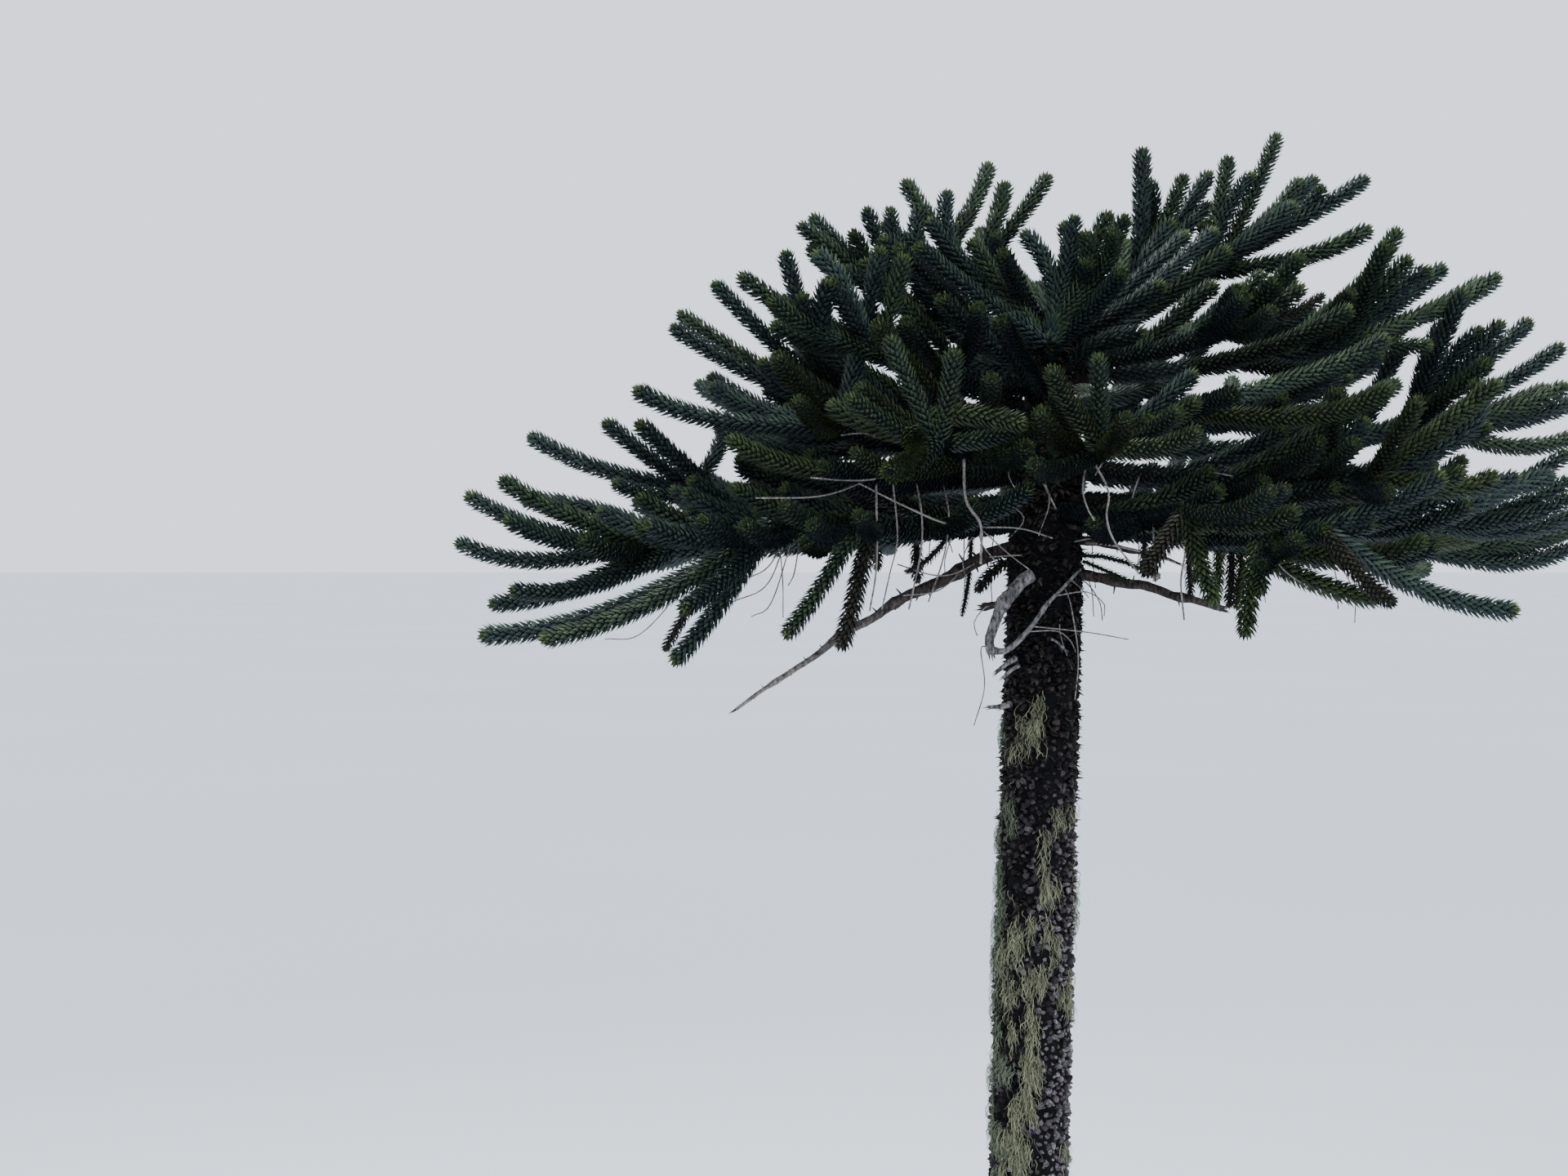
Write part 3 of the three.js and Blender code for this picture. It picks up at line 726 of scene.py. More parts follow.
def side_wishes(row, index):
    draw = dice(FIRST_SEED + SEED_STEP * index)

    def between(low, high):
        return low + (high - low) * draw()
    wishes = []
    count = SHOOTS_PER_MASS - len(row["leaders"])
    for k in range(count):
        side = 1 if k % 2 == 0 else -1
        along = SIDE_FROM + SIDE_SPAN * (k + draw()) / count
        swing = side * (SIDE_SWING - SIDE_SWING_LOSS * along) + between(-SWING_JITTER, SWING_JITTER)
        lift = row["lift"] + between(*LIFT_JITTER)
        length = row["length"] * between(*LENGTH_JITTER)
        wishes.append([along, swing, lift, length])
    return wishes


def fitted_shoot(index, row, curve, wish, crowd):
    """The shoot by the first swing and tilt that keep clear of trunk and other masses."""
    along, swing, lift, length = wish
    base = on_curve(curve, [LEAFY_FROM + (1 - LEAFY_FROM) * along])[0]
    for turn in TURNS:
        for tilt in TILTS:
            shoot = shoot_curve(base, row["azimuth"], swing + turn, lift + tilt, length)
            points = on_curve(shoot, np.linspace(FREE_FROM, 1, SHOOT_SAMPLES))
            if is_clear_of_trunk(points) and crowd.is_clear(points, CLEAR_OF_MASS, index):
                return Shoot(index, shoot, row["azimuth"] + swing + turn, lift + tilt)
    return None


def grow_main_shoots(rows, curves, crowd):
    """The shoots that the solids show, in the solids' own order."""
    for index, curve in enumerate(curves):
        crowd.add(curve, BOUGH_FREE_FROM, BOUGH_SAMPLES, index)
    wishes = [(index, wish) for index, row in enumerate(rows) for wish in row["leaders"]]
    wishes += [(index, wish) for index, row in enumerate(rows) for wish in side_wishes(row, index)]
    shoots = []
    for index, wish in wishes:
        shoot = fitted_shoot(index, rows[index], curves[index], wish, crowd)
        if shoot:
            shoots.append(shoot)
            crowd.add(shoot.curve, 0, PLACED_SAMPLES, index)
    return shoots


# Further boughs, in whorls between those that the solids show: height of their feet
# and of their outer ends above DATUM, reach, first azimuth, how many there are, and
# their shoots' lift and length
FURTHER_WHORLS = [
    (130, 70, 1500, 32, 6, 4, 560), (320, 330, 1500, 8, 8, 10, 600),
    (570, 650, 1350, 20, 8, 16, 580), (690, 880, 1080, 0, 7, 26, 520),
    (850, 1130, 500, 30, 7, 50, 480),
]
LOW_WHORLS = 2  # the first whorls, which leave the front free
FURTHER_SEED = 4200
FOOT_SHIFTS = [0, 45, -45, 90, -90, 135]  # heights that a bough tries, to hide no sky
AZIMUTH_JITTER = (-9, 9)
FOOT_JITTER = (-40, 40)
END_JITTER = (-60, 60)
REACH_JITTER = (0.85, 1.05)
FRONT = 270  # azimuth that faces the camera
FRONT_GAP = 24  # on either side of it, where no further bough grows

# Further shoots, between those that the solids show
FILL_CLEAR = 64  # distance that they keep from all others
FILL_FREE_FROM = 0.4  # part of their length from which they keep it
FILL_TURNS = [0, 8, -8, 16, -16, 24]
FILL_TILTS = [0, 8, -8, 15]
FILL_SHARES = [1.0, 0.8, 0.62]  # of its length, that a crowded shoot tries
FILL_PER_METRE = 4.6  # wishes per metre of bough
FILL_FROM = 0.36  # part of a bough's length where its further shoots begin
FILL_SWING = (14, 40)
FILL_LIFT_JITTER = (-20, 14)
FILL_LENGTH_JITTER = (0.9, 1.35)
FILL_SPARSE = 0.95  # share left out of those that head straight for the camera
FORK_FROM = 420  # shoots longer than this may fork
FORK_CHANCE = 0.28
FORK_PLACES = (0.1, 0.35)  # along the shoot that forks
FORK_SWING = (14, 28)
FORK_LIFT_JITTER = (-8, 12)
FORK_LENGTHS = (0.7, 0.95)  # of the length of the shoot that forks

# The crown's outline: how far it reaches from the trunk's middle to the photograph's
# left and right, by height above DATUM
OUTLINE_HEIGHTS = [-300, 80, 300, 530, 640, 700, 960, 1120, 1340, 1540, 1730]
OUTLINE_LEFT = [2230, 2380, 2240, 2070, 1780, 1660, 1510, 1360, 1080, 620, 240]
OUTLINE_RIGHT = [1800, 2090, 2180, 2180, 2180, 2160, 2000, 1850, 1480, 1270, 900]
OUTLINE_DEPTH = 0.9  # of the width, before and behind
OUTLINE_SHARE = 0.93  # how much of it the further shoots fill before and behind
SIDE_SHARE = 0.8  # and to left and right
UNDERSIDE = [(0, 110), (1000, 80), (1500, 0), (2400, -120)]  # distance, lowest height
TOPSIDE = [  # the crown's dense top in the photograph, single shoots left out, in pixels
    (545, 540), (970, 330), (1120, 290), (1242, 305), (1333, 300), (1395, 262), (1605, 250),
    (1700, 300), (1940, 420),
]
BOTTOMSIDE = [  # its dense underside, hanging shoots left out, in pixels
    (545, 760), (900, 700), (950, 668), (1200, 660), (1320, 655), (1480, 660), (1560, 690),
    (1700, 720), (1940, 700),
]

# Gaps of sky that the photograph shows in the crown: middle and half sizes, in pixels
SKY_GAPS = [
    (1310, 437, 20, 5), (1365, 437, 15, 5), (1435, 440, 12, 8), (1493, 434, 24, 9),
    (1540, 457, 26, 9), (1592, 435, 26, 8),
    (1672, 463, 26, 14), (1727, 452, 15, 18), (1740, 415, 20, 12), (1752, 480, 28, 11),
    (1693, 508, 22, 9), (1763, 517, 20, 7), (1700, 545, 8, 12), (1778, 458, 14, 5),
    (1803, 433, 24, 6), (1768, 550, 13, 5), (1805, 553, 18, 5), (1735, 642, 17, 8),
    (1772, 628, 16, 5), (1523, 645, 13, 8), (1630, 573, 12, 5), (1620, 325, 40, 22),
    (1540, 322, 30, 12), (1240, 474, 9, 8),
    (1345, 531, 30, 6), (1340, 567, 26, 5), (1415, 560, 10, 5), (1214, 601, 9, 7),
    (1200, 608, 12, 7), (1184, 616, 12, 7), (1150, 561, 13, 6), (1222, 645, 11, 12),
    (1330, 640, 24, 7),
    (1358, 600, 26, 6), (851, 673, 58, 5), (1180, 340, 12, 9), (1210, 360, 8, 5),
    (1230, 372, 9, 5), (1255, 313, 12, 11), (1092, 390, 12, 7), (1103, 463, 13, 6),
    (1117, 342, 6, 5), (1043, 363, 12, 9), (1027, 390, 4, 4), (943, 413, 9, 5),
    (842, 548, 22, 22), (900, 578, 16, 12), (868, 470, 20, 10), (690, 560, 30, 8),
    (1515, 275, 20, 14), (1470, 262, 12, 9), (1582, 372, 22, 10), (1700, 387, 46, 10),
    (900, 492, 50, 13), (826, 565, 22, 17), (935, 359, 17, 13), (1386, 268, 9, 22),
    (752, 576, 30, 8), (1640, 361, 15, 8),
]
GAP_MARGIN = 6


def seen_pixels(points):
    """Pixels of the photograph at which the camera sees the points."""
    right, back, high = (np.asarray(points, float) - EYE).T
    ahead = back * math.cos(DIP) - high * math.sin(DIP)
    up = back * math.sin(DIP) + high * math.cos(DIP)
    across = PHOTO_WIDTH / 2 + FOCAL_PIXELS * right / ahead
    down = PHOTO_HEIGHT / 2 - FOCAL_PIXELS * up / ahead
    return np.stack([across, down], axis=1)


def photo_point(pixel, depth):
    """The point that the camera sees at a pixel, in the upright plane at this depth."""
    right = (pixel[0] - PHOTO_WIDTH / 2) / FOCAL_PIXELS
    up = (PHOTO_HEIGHT / 2 - pixel[1]) / FOCAL_PIXELS
    back = up * math.sin(DIP) + math.cos(DIP)
    high = up * math.cos(DIP) - math.sin(DIP)
    return EYE + np.array([right, back, high]) * (depth - EYE[1]) / back


def nearest_seen(pixel, points, nearer_first=0.0):
    """The point seen nearest to a pixel. nearer_first is how many pixels a point may be
    off for each millimetre that it is nearer to the camera."""
    gaps = np.linalg.norm(seen_pixels(points) - np.array(pixel), axis=1)
    return points[(gaps + nearer_first * points[:, 1]).argmin()]


def is_inside(points):
    """Whether points lie within the crown's outline."""
    height = points[:, 2] - DATUM
    x = points[:, 0] - trunk_middle(points[:, 2])
    y = points[:, 1] / OUTLINE_DEPTH
    distance = np.hypot(x, y)
    left = np.interp(height, OUTLINE_HEIGHTS, OUTLINE_LEFT)
    right = np.interp(height, OUTLINE_HEIGHTS, OUTLINE_RIGHT)
    rightness = 0.5 + 0.5 * x / np.maximum(distance, 1)
    sideways = np.abs(x) / np.maximum(distance, 1)
    share = OUTLINE_SHARE + (SIDE_SHARE - OUTLINE_SHARE) * sideways
    limit = share * (left + (right - left) * rightness)
    lowest = np.interp(distance, *zip(*UNDERSIDE))
    seen = seen_pixels(points)
    top = seen[:, 1] > np.interp(seen[:, 0], *zip(*TOPSIDE))
    return bool(np.all((distance < limit) & (height > lowest) & top))


def hides_sky(points):
    """Whether any of the points stands before or behind a gap, seen by the camera."""
    seen = seen_pixels(points)
    for x, y, wide, tall in SKY_GAPS:
        across = (seen[:, 0] - x) / (wide + GAP_MARGIN)
        along = (seen[:, 1] - y) / (tall + GAP_MARGIN)
        if np.any(across ** 2 + along ** 2 < 1):
            return True
    return False


def hangs_low(points):
    """Whether any of the points is seen below the crown's underside."""
    seen = seen_pixels(points)
    return bool(np.any(seen[:, 1] > np.interp(seen[:, 0], *zip(*BOTTOMSIDE))))


def further_boughs(random):
    """Rows of the whorls between the solids' boughs."""
    rows = []
    for number, (foot, end, reach, first, count, lift, length) in enumerate(FURTHER_WHORLS):
        for k in range(count):
            azimuth = first + 360 * k / count + random.uniform(*AZIMUTH_JITTER)
            row = bough(
                foot + random.uniform(*FOOT_JITTER), end + random.uniform(*END_JITTER), azimuth,
                reach * random.uniform(*REACH_JITTER), lift, length, [])
            if number < LOW_WHORLS and abs(azimuth - FRONT) < FRONT_GAP:
                continue
            for shift in FOOT_SHIFTS:
                moved = {**row, "foot": row["foot"] + shift, "end": row["end"] + shift}
                points = on_curve(bough_curve(moved), np.linspace(0.08, 1, BOUGH_SAMPLES))
                if not hides_sky(points) and not hangs_low(points):
                    rows.append(moved)
                    break
    return rows


def fill_shoot(index, base, heading, swing, lift, length, crowd):
    """A further shoot by the first length, swing and tilt that leave it free."""
    for share in FILL_SHARES:
        for turn in FILL_TURNS:
            for tilt in FILL_TILTS:
                shoot = shoot_curve(base, heading, swing + turn, lift + tilt, share * length)
                points = on_curve(shoot, np.linspace(FILL_FREE_FROM, 1, SHOOT_SAMPLES))
                if not is_inside(points) or hides_sky(points) or hangs_low(points):
                    continue
                if is_clear_of_trunk(points) and crowd.is_clear(points, FILL_CLEAR):
                    return Shoot(index, shoot, heading + swing + turn, lift + tilt)
    return None


def grow_fill_shoots(rows, curves, shoots, crowd, random):
    """Shoots that leave each bough to left and right in turn, and forks of long ones."""
    grown = []

    def keep(shoot):
        if shoot:
            grown.append(shoot)
            crowd.add(shoot.curve, 0, PLACED_SAMPLES, shoot.bough)

    for index, row in enumerate(rows):
        count = round(FILL_PER_METRE * row["reach"] * MM)
        for k in range(count):
            side = 1 if k % 2 == 0 else -1
            part = 1 - (1 - FILL_FROM) * (k + random.uniform(0, 1)) / count
            base = on_curve(curves[index], [part])[0]
            swing = side * random.uniform(*FILL_SWING)
            lift = row["lift"] + random.uniform(*FILL_LIFT_JITTER)
            length = row["length"] * random.uniform(*FILL_LENGTH_JITTER)
            facing = math.cos(math.radians(row["azimuth"] + swing - FRONT))
            if random.uniform(0, 1) < FILL_SPARSE * max(facing, 0) ** 4:
                continue
            keep(fill_shoot(index, base, row["azimuth"], swing, lift, length, crowd))
    for parent in list(shoots):
        if parent.length < FORK_FROM or random.uniform(0, 1) > FORK_CHANCE:
            continue
        side = random.choice([-1, 1])
        base = on_curve(parent.curve, [random.uniform(*FORK_PLACES)])[0]
        swing = side * random.uniform(*FORK_SWING)
        lift = parent.lift + random.uniform(*FORK_LIFT_JITTER)
        length = parent.length * random.uniform(*FORK_LENGTHS)
        keep(fill_shoot(parent.bough, base, parent.heading, swing, lift, length, crowd))
    return grown


# Shoots traced from the photograph: the bough that carries them, their size, how far
# behind their base the tip lies, the pixels of base, middle and tip, and their colour if
# it is not left to chance. The base moves to the nearest point of its carrier.
TRACED = [
    ("high_back_left", 0.95, 40, (1170, 310), (1158, 270), (1160, 238)),
    ("high_back_left", 0.95, 60, (1120, 330), (1122, 285), (1128, 254)),
    ("high_left_back", 0.95, 0, (1110, 345), (1098, 300), (1090, 258)),
    ("high_left_back", 0.95, -60, (1075, 350), (1058, 312), (1045, 287)),
    ("high_left", 1.0, 60, (1060, 400), (1030, 345), (1001, 313)),
    ("high_left_back", 0.95, 40, (1062, 360), (1022, 330), (994, 304)),
    ("high_left", 1.15, -120, (1020, 440), (1006, 395), (1015, 349)),
    ("high_back_left", 1.0, -40, (1140, 350), (1158, 305), (1185, 264)),
    ("high_back_left", 0.95, -60, (1215, 350), (1217, 318), (1220, 291)),
    ("high_front", 1.0, 60, (1287, 410), (1290, 345), (1256, 288)),
    ("high_front", 0.95, 80, (1286, 405), (1308, 335), (1303, 277)),
    ("high_front", 1.0, -60, (1290, 400), (1330, 335), (1328, 288)),
    ("high_front", 1.0, -150, (1292, 400), (1348, 335), (1363, 287)),
    ("high_left", 1.0, -60, (1005, 432), (991, 395), (984, 364)),
    ("high_back_right", 1.0, -60, (1400, 325), (1412, 270), (1408, 224)),
    ("high_right_back", 0.95, 0, (1480, 310), (1508, 250), (1532, 216)),
    ("high_right_back", 0.95, 60, (1500, 318), (1556, 265), (1590, 223)),
    ("high_right_back", 1.0, -60, (1500, 318), (1582, 270), (1618, 232)),
    ("high_right_front", 0.75, 0, (1530, 395), (1585, 382), (1618, 363), "brown"),
    ("high_right", 0.95, -60, (1660, 412), (1712, 355), (1748, 332)),
    ("mid_right", 1.0, -60, (1735, 505), (1772, 445), (1812, 406)),
    ("high_right_back", 1.1, -150, (1465, 345), (1477, 308), (1478, 277)),
    ("high_right", 1.15, -60, (1540, 442), (1553, 414), (1558, 384)),
    ("mid_right", 1.15, -120, (1575, 547), (1605, 522), (1640, 484)),
    ("mid_right_front", 1.15, -60, (1690, 580), (1788, 532), (1808, 472)),
    ("mid_right_front", 1.0, -60, (1590, 590), (1650, 603), (1703, 601), "olive"),
    ("low_right", 1.0, -150, (1600, 651), (1665, 636), (1727, 630), "olive"),
    ("mid_right", 1.0, 60, (1749, 522), (1850, 516), (1925, 492)),
    ("low_right", 1.0, 100, (1760, 622), (1834, 605), (1897, 583)),
    ("mid_right", 1.05, -120, (1719, 562), (1726, 525), (1737, 489)),
    ("mid_right", 1.0, -60, (1665, 503), (1690, 472), (1717, 427)),
    ("mid_right", 1.0, 0, (1711, 500), (1745, 447), (1765, 398)),
    ("mid_right", 1.0, 0, (1776, 457), (1828, 433), (1871, 395)),
    ("mid_right", 1.0, 60, (1790, 517), (1842, 498), (1892, 478)),
    ("high_right", 1.0, 0, (1740, 388), (1790, 368), (1832, 340)),
    ("high_right", 0.95, -40, (1641, 424), (1700, 424), (1749, 423)),
    ("mid_right_front", 1.0, -40, (1745, 597), (1790, 597), (1829, 583), "olive"),
    ("high_right_front", 1.1, -100, (1393, 418), (1440, 388), (1486, 351)),
    ("high_right_front", 1.0, -60, (1458, 402), (1490, 383), (1520, 354)),
    ("high_right_front", 1.1, -120, (1310, 424), (1345, 423), (1400, 410)),
    ("low_right", 1.0, 0, (1766, 644), (1850, 650), (1925, 632)),
    ("low_right_back", 1.0, 0, (1741, 672), (1840, 666), (1925, 648)),
    ("low_right_back", 0.9, -60, (1660, 676), (1700, 698), (1727, 691), "young"),
    ("low_right_front", 1.0, 0, (1545, 680), (1612, 714), (1684, 734)),
    ("low_left", 0.95, 150, (850, 673), (745, 629), (645, 613)),
    ("low_left", 0.95, 60, (790, 672), (735, 645), (662, 618)),
    ("low_left_back", 0.8, -100, (928, 592), (914, 580), (907, 562)),
    ("low_left_front", 0.6, 100, (885, 690), (848, 738), (815, 794), "brown"),
    ("low_right_front", 0.5, 0, (1400, 650), (1401, 672), (1400, 698), "brown"),
    ("low_right", 0.6, 0, (1457, 645), (1456, 690), (1458, 728)),
    ("low_right_front", 0.6, 0, (1476, 658), (1470, 690), (1462, 711), "brown"),
    ("low_right", 0.7, 0, (1492, 647), (1492, 700), (1487, 741)),
    ("low_right_back", 0.7, 0, (1505, 667), (1508, 705), (1505, 741), "brown"),
    ("low_right_front", 0.9, -60, (1545, 659), (1545, 695), (1543, 724), "green"),
    ("low_left", 0.4, 0, (1185, 642), (1187, 700), (1178, 753), "brown"),
    ("low_front_left", 0.5, 0, (1165, 650), (1140, 682), (1110, 700), "brown"),
    # this hook shoot takes the brighter young colour as painted light, where it is lit
    ("mid_front_left", 1.15, -420, (1112, 528), (1122, 556), (1090, 578), "young"),
    ("mid_front_left", 1.05, -100, (1130, 515), (1190, 508), (1250, 519), "olive"),
    ("mid_right_front", 0.8, -160, (1446, 575), (1456, 612), (1455, 643), "olive"),
    ("trunk", 0.8, -60, (1243, 684), (1220, 696), (1198, 722), "brown"),
    ("trunk", 0.4, -40, (1322, 680), (1362, 684), (1407, 701), "green"),
    ("trunk", 0.35, -50, (1326, 687), (1359, 701), (1384, 712), "olive"),
]

NO_BOUGH = -1  # stands for the bough of a traced or hanging shoot
TRACED_FREE_FROM = 0.3  # part of a traced shoot from which others keep clear of it

# Short old shoots that hang at the back: the bough, how far along it they start, how
# many degrees they lean outward from straight down, their length and their size
HANGING = [
    ("low_back_left", 0.5, 6, 220, 0.7), ("low_left_back", 0.45, 5, 260, 0.7),
    ("low_right_back", 0.5, 0, 250, 0.7),
]


def traced_shoots(curves_by_name, shoots):
    """The traced shoots, each from the point of its carrier nearest to its base."""
    names = list(BOUGHS)
    parts = np.linspace(0.08, 1, 60)
    traced = []
    for name, size, behind, base_pixel, middle_pixel, tip_pixel, *colour in TRACED:
        if name == "trunk":
            base = photo_point(base_pixel, -0.5 * trunk_radius(DATUM))
        else:
            own = [s.curve for s in shoots if s.bough == names.index(name)]
            carrier = [on_curve(curve, parts) for curve in [curves_by_name[name]] + own]
            base = nearest_seen(base_pixel, np.concatenate(carrier))
        middle = photo_point(middle_pixel, base[1] + 0.4 * behind)
        tip = photo_point(tip_pixel, base[1] + behind)
        bend = 2 * middle - (base + tip) / 2
        curve = np.array([base, base + (bend - base) * 2 / 3, tip + (bend - tip) * 2 / 3, tip])
        lift = math.degrees(math.asin((tip[2] - base[2]) / np.linalg.norm(tip - base)))
        traced.append(Shoot(NO_BOUGH, curve, 0, lift, size, *colour))
    return traced


def hanging_shoots(curves_by_name):
    hung = []
    for name, part, lean, length, size in HANGING:
        azimuth = BOUGHS[name]["azimuth"]
        base = on_curve(curves_by_name[name], [part])[0]
        tip = base + direction(azimuth, lean - 90) * length
        start = direction(azimuth, -50)
        end = direction(azimuth, -88)
        curve = sweep(base, tip, start, end, BEND_REACH * length)
        hung.append(Shoot(NO_BOUGH, curve, azimuth, lean - 90, size))
    return hung


# Leaves and stems of the shoots

def leaf_distances(most):
    """Distances of the leaves from a shoot's tip, crowded towards the tip."""
    distances = [0.5]
    while distances[-1] < most:
        part = min(distances[-1] / TIP_CROWDING, 1)
        distances.append(distances[-1] + TIP_SPACING + (LEAF_SPACING - TIP_SPACING) * part)
    return np.array(distances)


def ease(values):
    """From 0 to 1 smoothly, as values go from 0 to 1."""
    part = np.clip(values, 0, 1)
    return part * part * (3 - 2 * part)


class Sprays:
    """Leaves of one colour, in as many heaps as the limit on triangles asks for."""

    def __init__(self):
        self.heaps = [Heap()]

    def add(self, points, marks, faces):
        if self.heaps[-1].triangles + len(faces) > MOST_TRIANGLES:
            self.heaps.append(Heap())
        self.heaps[-1].add(points, marks, faces)


def add_leaves(sprays, place, axis, across, out, length, width, marks):
    """Leaves from arrays of their bases, directions and sizes. marks is (lot, facing)."""
    count = len(place)
    if count == 0:
        return
    x, y, z = (LEAF_OUTLINE[:, k][None, :, None] for k in range(3))
    wide = width[:, None, None]
    points = place[:, None] + x * wide * across[:, None] + y * length[:, None, None] * axis[:, None]
    points = points + z * wide * out[:, None]
    corners = len(LEAF_OUTLINE)
    full_marks = np.zeros((count, corners, 3))
    full_marks[..., 0] = LEAF_OUTLINE[:, 1]
    full_marks[..., 1] = marks[0][:, None]
    full_marks[..., 2] = marks[1][:, None]
    sprays.add(points, full_marks.reshape(-1, 3), repeated(LEAF_FACES, count, corners))


def stem_radius(from_tip, thick):
    tip = STEM_TIP_RADIUS * thick / STEM_RADIUS
    return tip + (thick - tip) * np.clip(from_tip / STEM_TAPER, 0, 1)


def dress_shoot(path, sprays, stems, random, colour, first=0.0, thick=STEM_RADIUS, size=1.0):
    """Stem and leaves of one shoot, from a distance along its path to its tip."""
    length = path.length
    rings = max(4, int((length - first) / STEM_STEP))
    distances = first + (length - STEM_SHORT - first) * np.linspace(0, 1, rings)
    radii = STEM_SHARE * stem_radius(length - distances, thick)
    add_tube(stems, path, distances, radii, STEM_SIDES)
    from_tip = leaf_distances(length - first)
    count = len(from_tip)
    place, ahead, across, up = path.frame_at(np.clip(length - from_tip, first, length))
    turn = random.uniform(0, 2 * math.pi) + GOLDEN_ANGLE * np.arange(count)
    turn = turn + random.normal(0, 0.04, count)
    out = around(turn, across, up)
    side = np.cross(ahead, out)
    share = np.sqrt(np.clip(from_tip / TIP_BEND, 0, 1))
    angle = np.radians(TIP_ANGLE + (LEAF_ANGLE - TIP_ANGLE) * share + random.normal(0, 3, count))
    axis = around(angle, ahead, out)
    back = around(angle, out, -ahead)
    grown = TIP_LEAF + (1 - TIP_LEAF) * ease(from_tip / TIP_LEAF_REACH)
    lengths = size * LEAF_LENGTH * grown * random.uniform(0.92, 1.07, count)
    widths = lengths * LEAF_WIDTH / LEAF_LENGTH * random.uniform(0.92, 1.08, count)
    base = place + out * (stem_radius(from_tip, thick) * LEAF_FOOT)[:, None]
    lots = random.uniform(0, 1, count)
    # how far up this leaf's side of the shoot faces, which the leaf material turns into painted shade
    # below and painted light on top
    facing = 0.5 + 0.5 * out[:, 2]
    fresh = 0 if colour == "brown" else YOUNG_LENGTH * random.uniform(0.5, 1.2)
    young = from_tip < fresh
    for group, chosen in (("young", young), (colour, ~young)):
        add_leaves(
            sprays[group], base[chosen], axis[chosen], side[chosen], back[chosen],
            lengths[chosen], widths[chosen], (lots[chosen], facing[chosen]))


FRONT_SLIMMER = 0.14  # part by which the shoots in front are slimmer
SIZE_JITTER = (0.92, 1.1)
HANGING_LIFT = -38  # lift below which most shoots are old and brown
LEAF_COLOURS = {  # in the shade, in the light and at the point
    "dark": [(14, 23, 33), (28, 43, 43), (83, 106, 78)],
    "green": [(16, 26, 30), (37, 54, 39), (96, 118, 72)],
    "young": [(22, 36, 22), (54, 70, 38), (112, 128, 70)],
    "olive": [(18, 27, 18), (42, 56, 29), (90, 107, 55)],
    "brown": [(15, 15, 14), (37, 35, 28), (74, 67, 50)],
}


def shoot_colour(shoot, random):
    """Colour of a whole shoot: brown where it hangs, olive low down to the right and in
    front; otherwise green, as painted light, more often high up and in front, and dark, as painted
    shade, more often low down and behind."""
    lot = random.uniform(0, 1)
    if shoot.colour:
        return shoot.colour
    x, y, z = shoot.curve[3]
    height = z - DATUM
    hanging = shoot.lift < HANGING_LIFT
    low_right = height < 330 and x > 700 and y < 300
    in_front = y < -1000 and 330 < height < 950
    if hanging and lot > 0.35:
        return "brown"
    if (low_right and lot < 0.3) or (hanging and lot < 0.2) or (in_front and lot > 0.45):
        return "olive"
    # painted light: the paler green grows likelier high up and in front, and the dark copy stands for
    # painted shade low down and behind
    near = ease((-y - 500) / 900)
    return "green" if lot < 0.15 + 0.4 * ease(height / 1500) + 0.3 * near else "dark"


def make_foliage(rows, curves, shoots, nodes):
    random = np.random.default_rng(77)
    sprays = {colour: Sprays() for colour in LEAF_COLOURS}
    stems = Heap()
    for row, curve in zip(rows, curves):
        path = path_of(curve)
        first = BOUGH_BARE * path.length if row["bare"] else 0
        dress_shoot(path, sprays, stems, random, "dark", first, thick=BOUGH_STEM_RADIUS)
    for shoot in shoots:
        near = ease((-shoot.curve[3][1] - 700) / 900)
        size = shoot.size * random.uniform(*SIZE_JITTER) * (1 - FRONT_SLIMMER * near)
        dress_shoot(
            path_of(shoot.curve), sprays, stems, random, shoot_colour(shoot, random),
            thick=STEM_RADIUS * shoot.size, size=size)
    for colour, group in sprays.items():
        leaf = leaf_material(f"leaf {colour}", *[srgb(*stop) for stop in LEAF_COLOURS[colour]])
        for number, heap in enumerate(group.heaps, 1):
            make_piece(f"leaves_{colour}_{number}", heap, leaf, nodes, smooth=False)
    stem = wood_material("green stem", srgb(14, 22, 20), srgb(28, 38, 28), srgb(34, 36, 26), 60)
    make_piece("shoot_stems", stems, stem, nodes)


# Bark of trunk and boughs

TRUNK_SIDES = 72
FINE_RINGS_FROM = 2600  # height from which the trunk's rings stand closer
BARK_RELIEF = [(9, 9, 70), (8, 24, 180)]  # depth, and lumps round and up the trunk
FULL_BARK_RADIUS = 140  # radius of the trunk below which its knobs get smaller


def smooth_noise(random, u, v, cells_u, cells_v):
    """Smooth noise from -1 to 1. u and v go from 0 to 1, and it closes on itself along u."""
    grid = random.uniform(-1, 1, (cells_u, cells_v + 2))
    a = u * cells_u
    b = np.clip(v, 0, 1) * cells_v
    a0 = np.floor(a).astype(int)
    b0 = np.minimum(np.floor(b).astype(int), cells_v - 1)
    fa = ease(a - a0)
    fb = ease(b - b0)
    low = grid[a0 % cells_u, b0] * (1 - fa) + grid[(a0 + 1) % cells_u, b0] * fa
    high = grid[a0 % cells_u, b0 + 1] * (1 - fa) + grid[(a0 + 1) % cells_u, b0 + 1] * fa
    return low * (1 - fb) + high * fb


def trunk_surface(angle, height):
    """Distance of the trunk's smooth surface from its middle."""
    flare = np.exp(-height / FLARE_FADE)
    lobe = 1 + LOBE_DEPTH * flare * np.cos(FLARE_LOBES * angle + LOBE_TURN)
    return (trunk_radius(height) + FLARE * flare) * lobe


def trunk_point(angle, height, reach):
    across = trunk_middle(height) + reach * np.cos(angle)
    return np.stack([across, reach * np.sin(angle), height + 0 * angle], axis=-1)


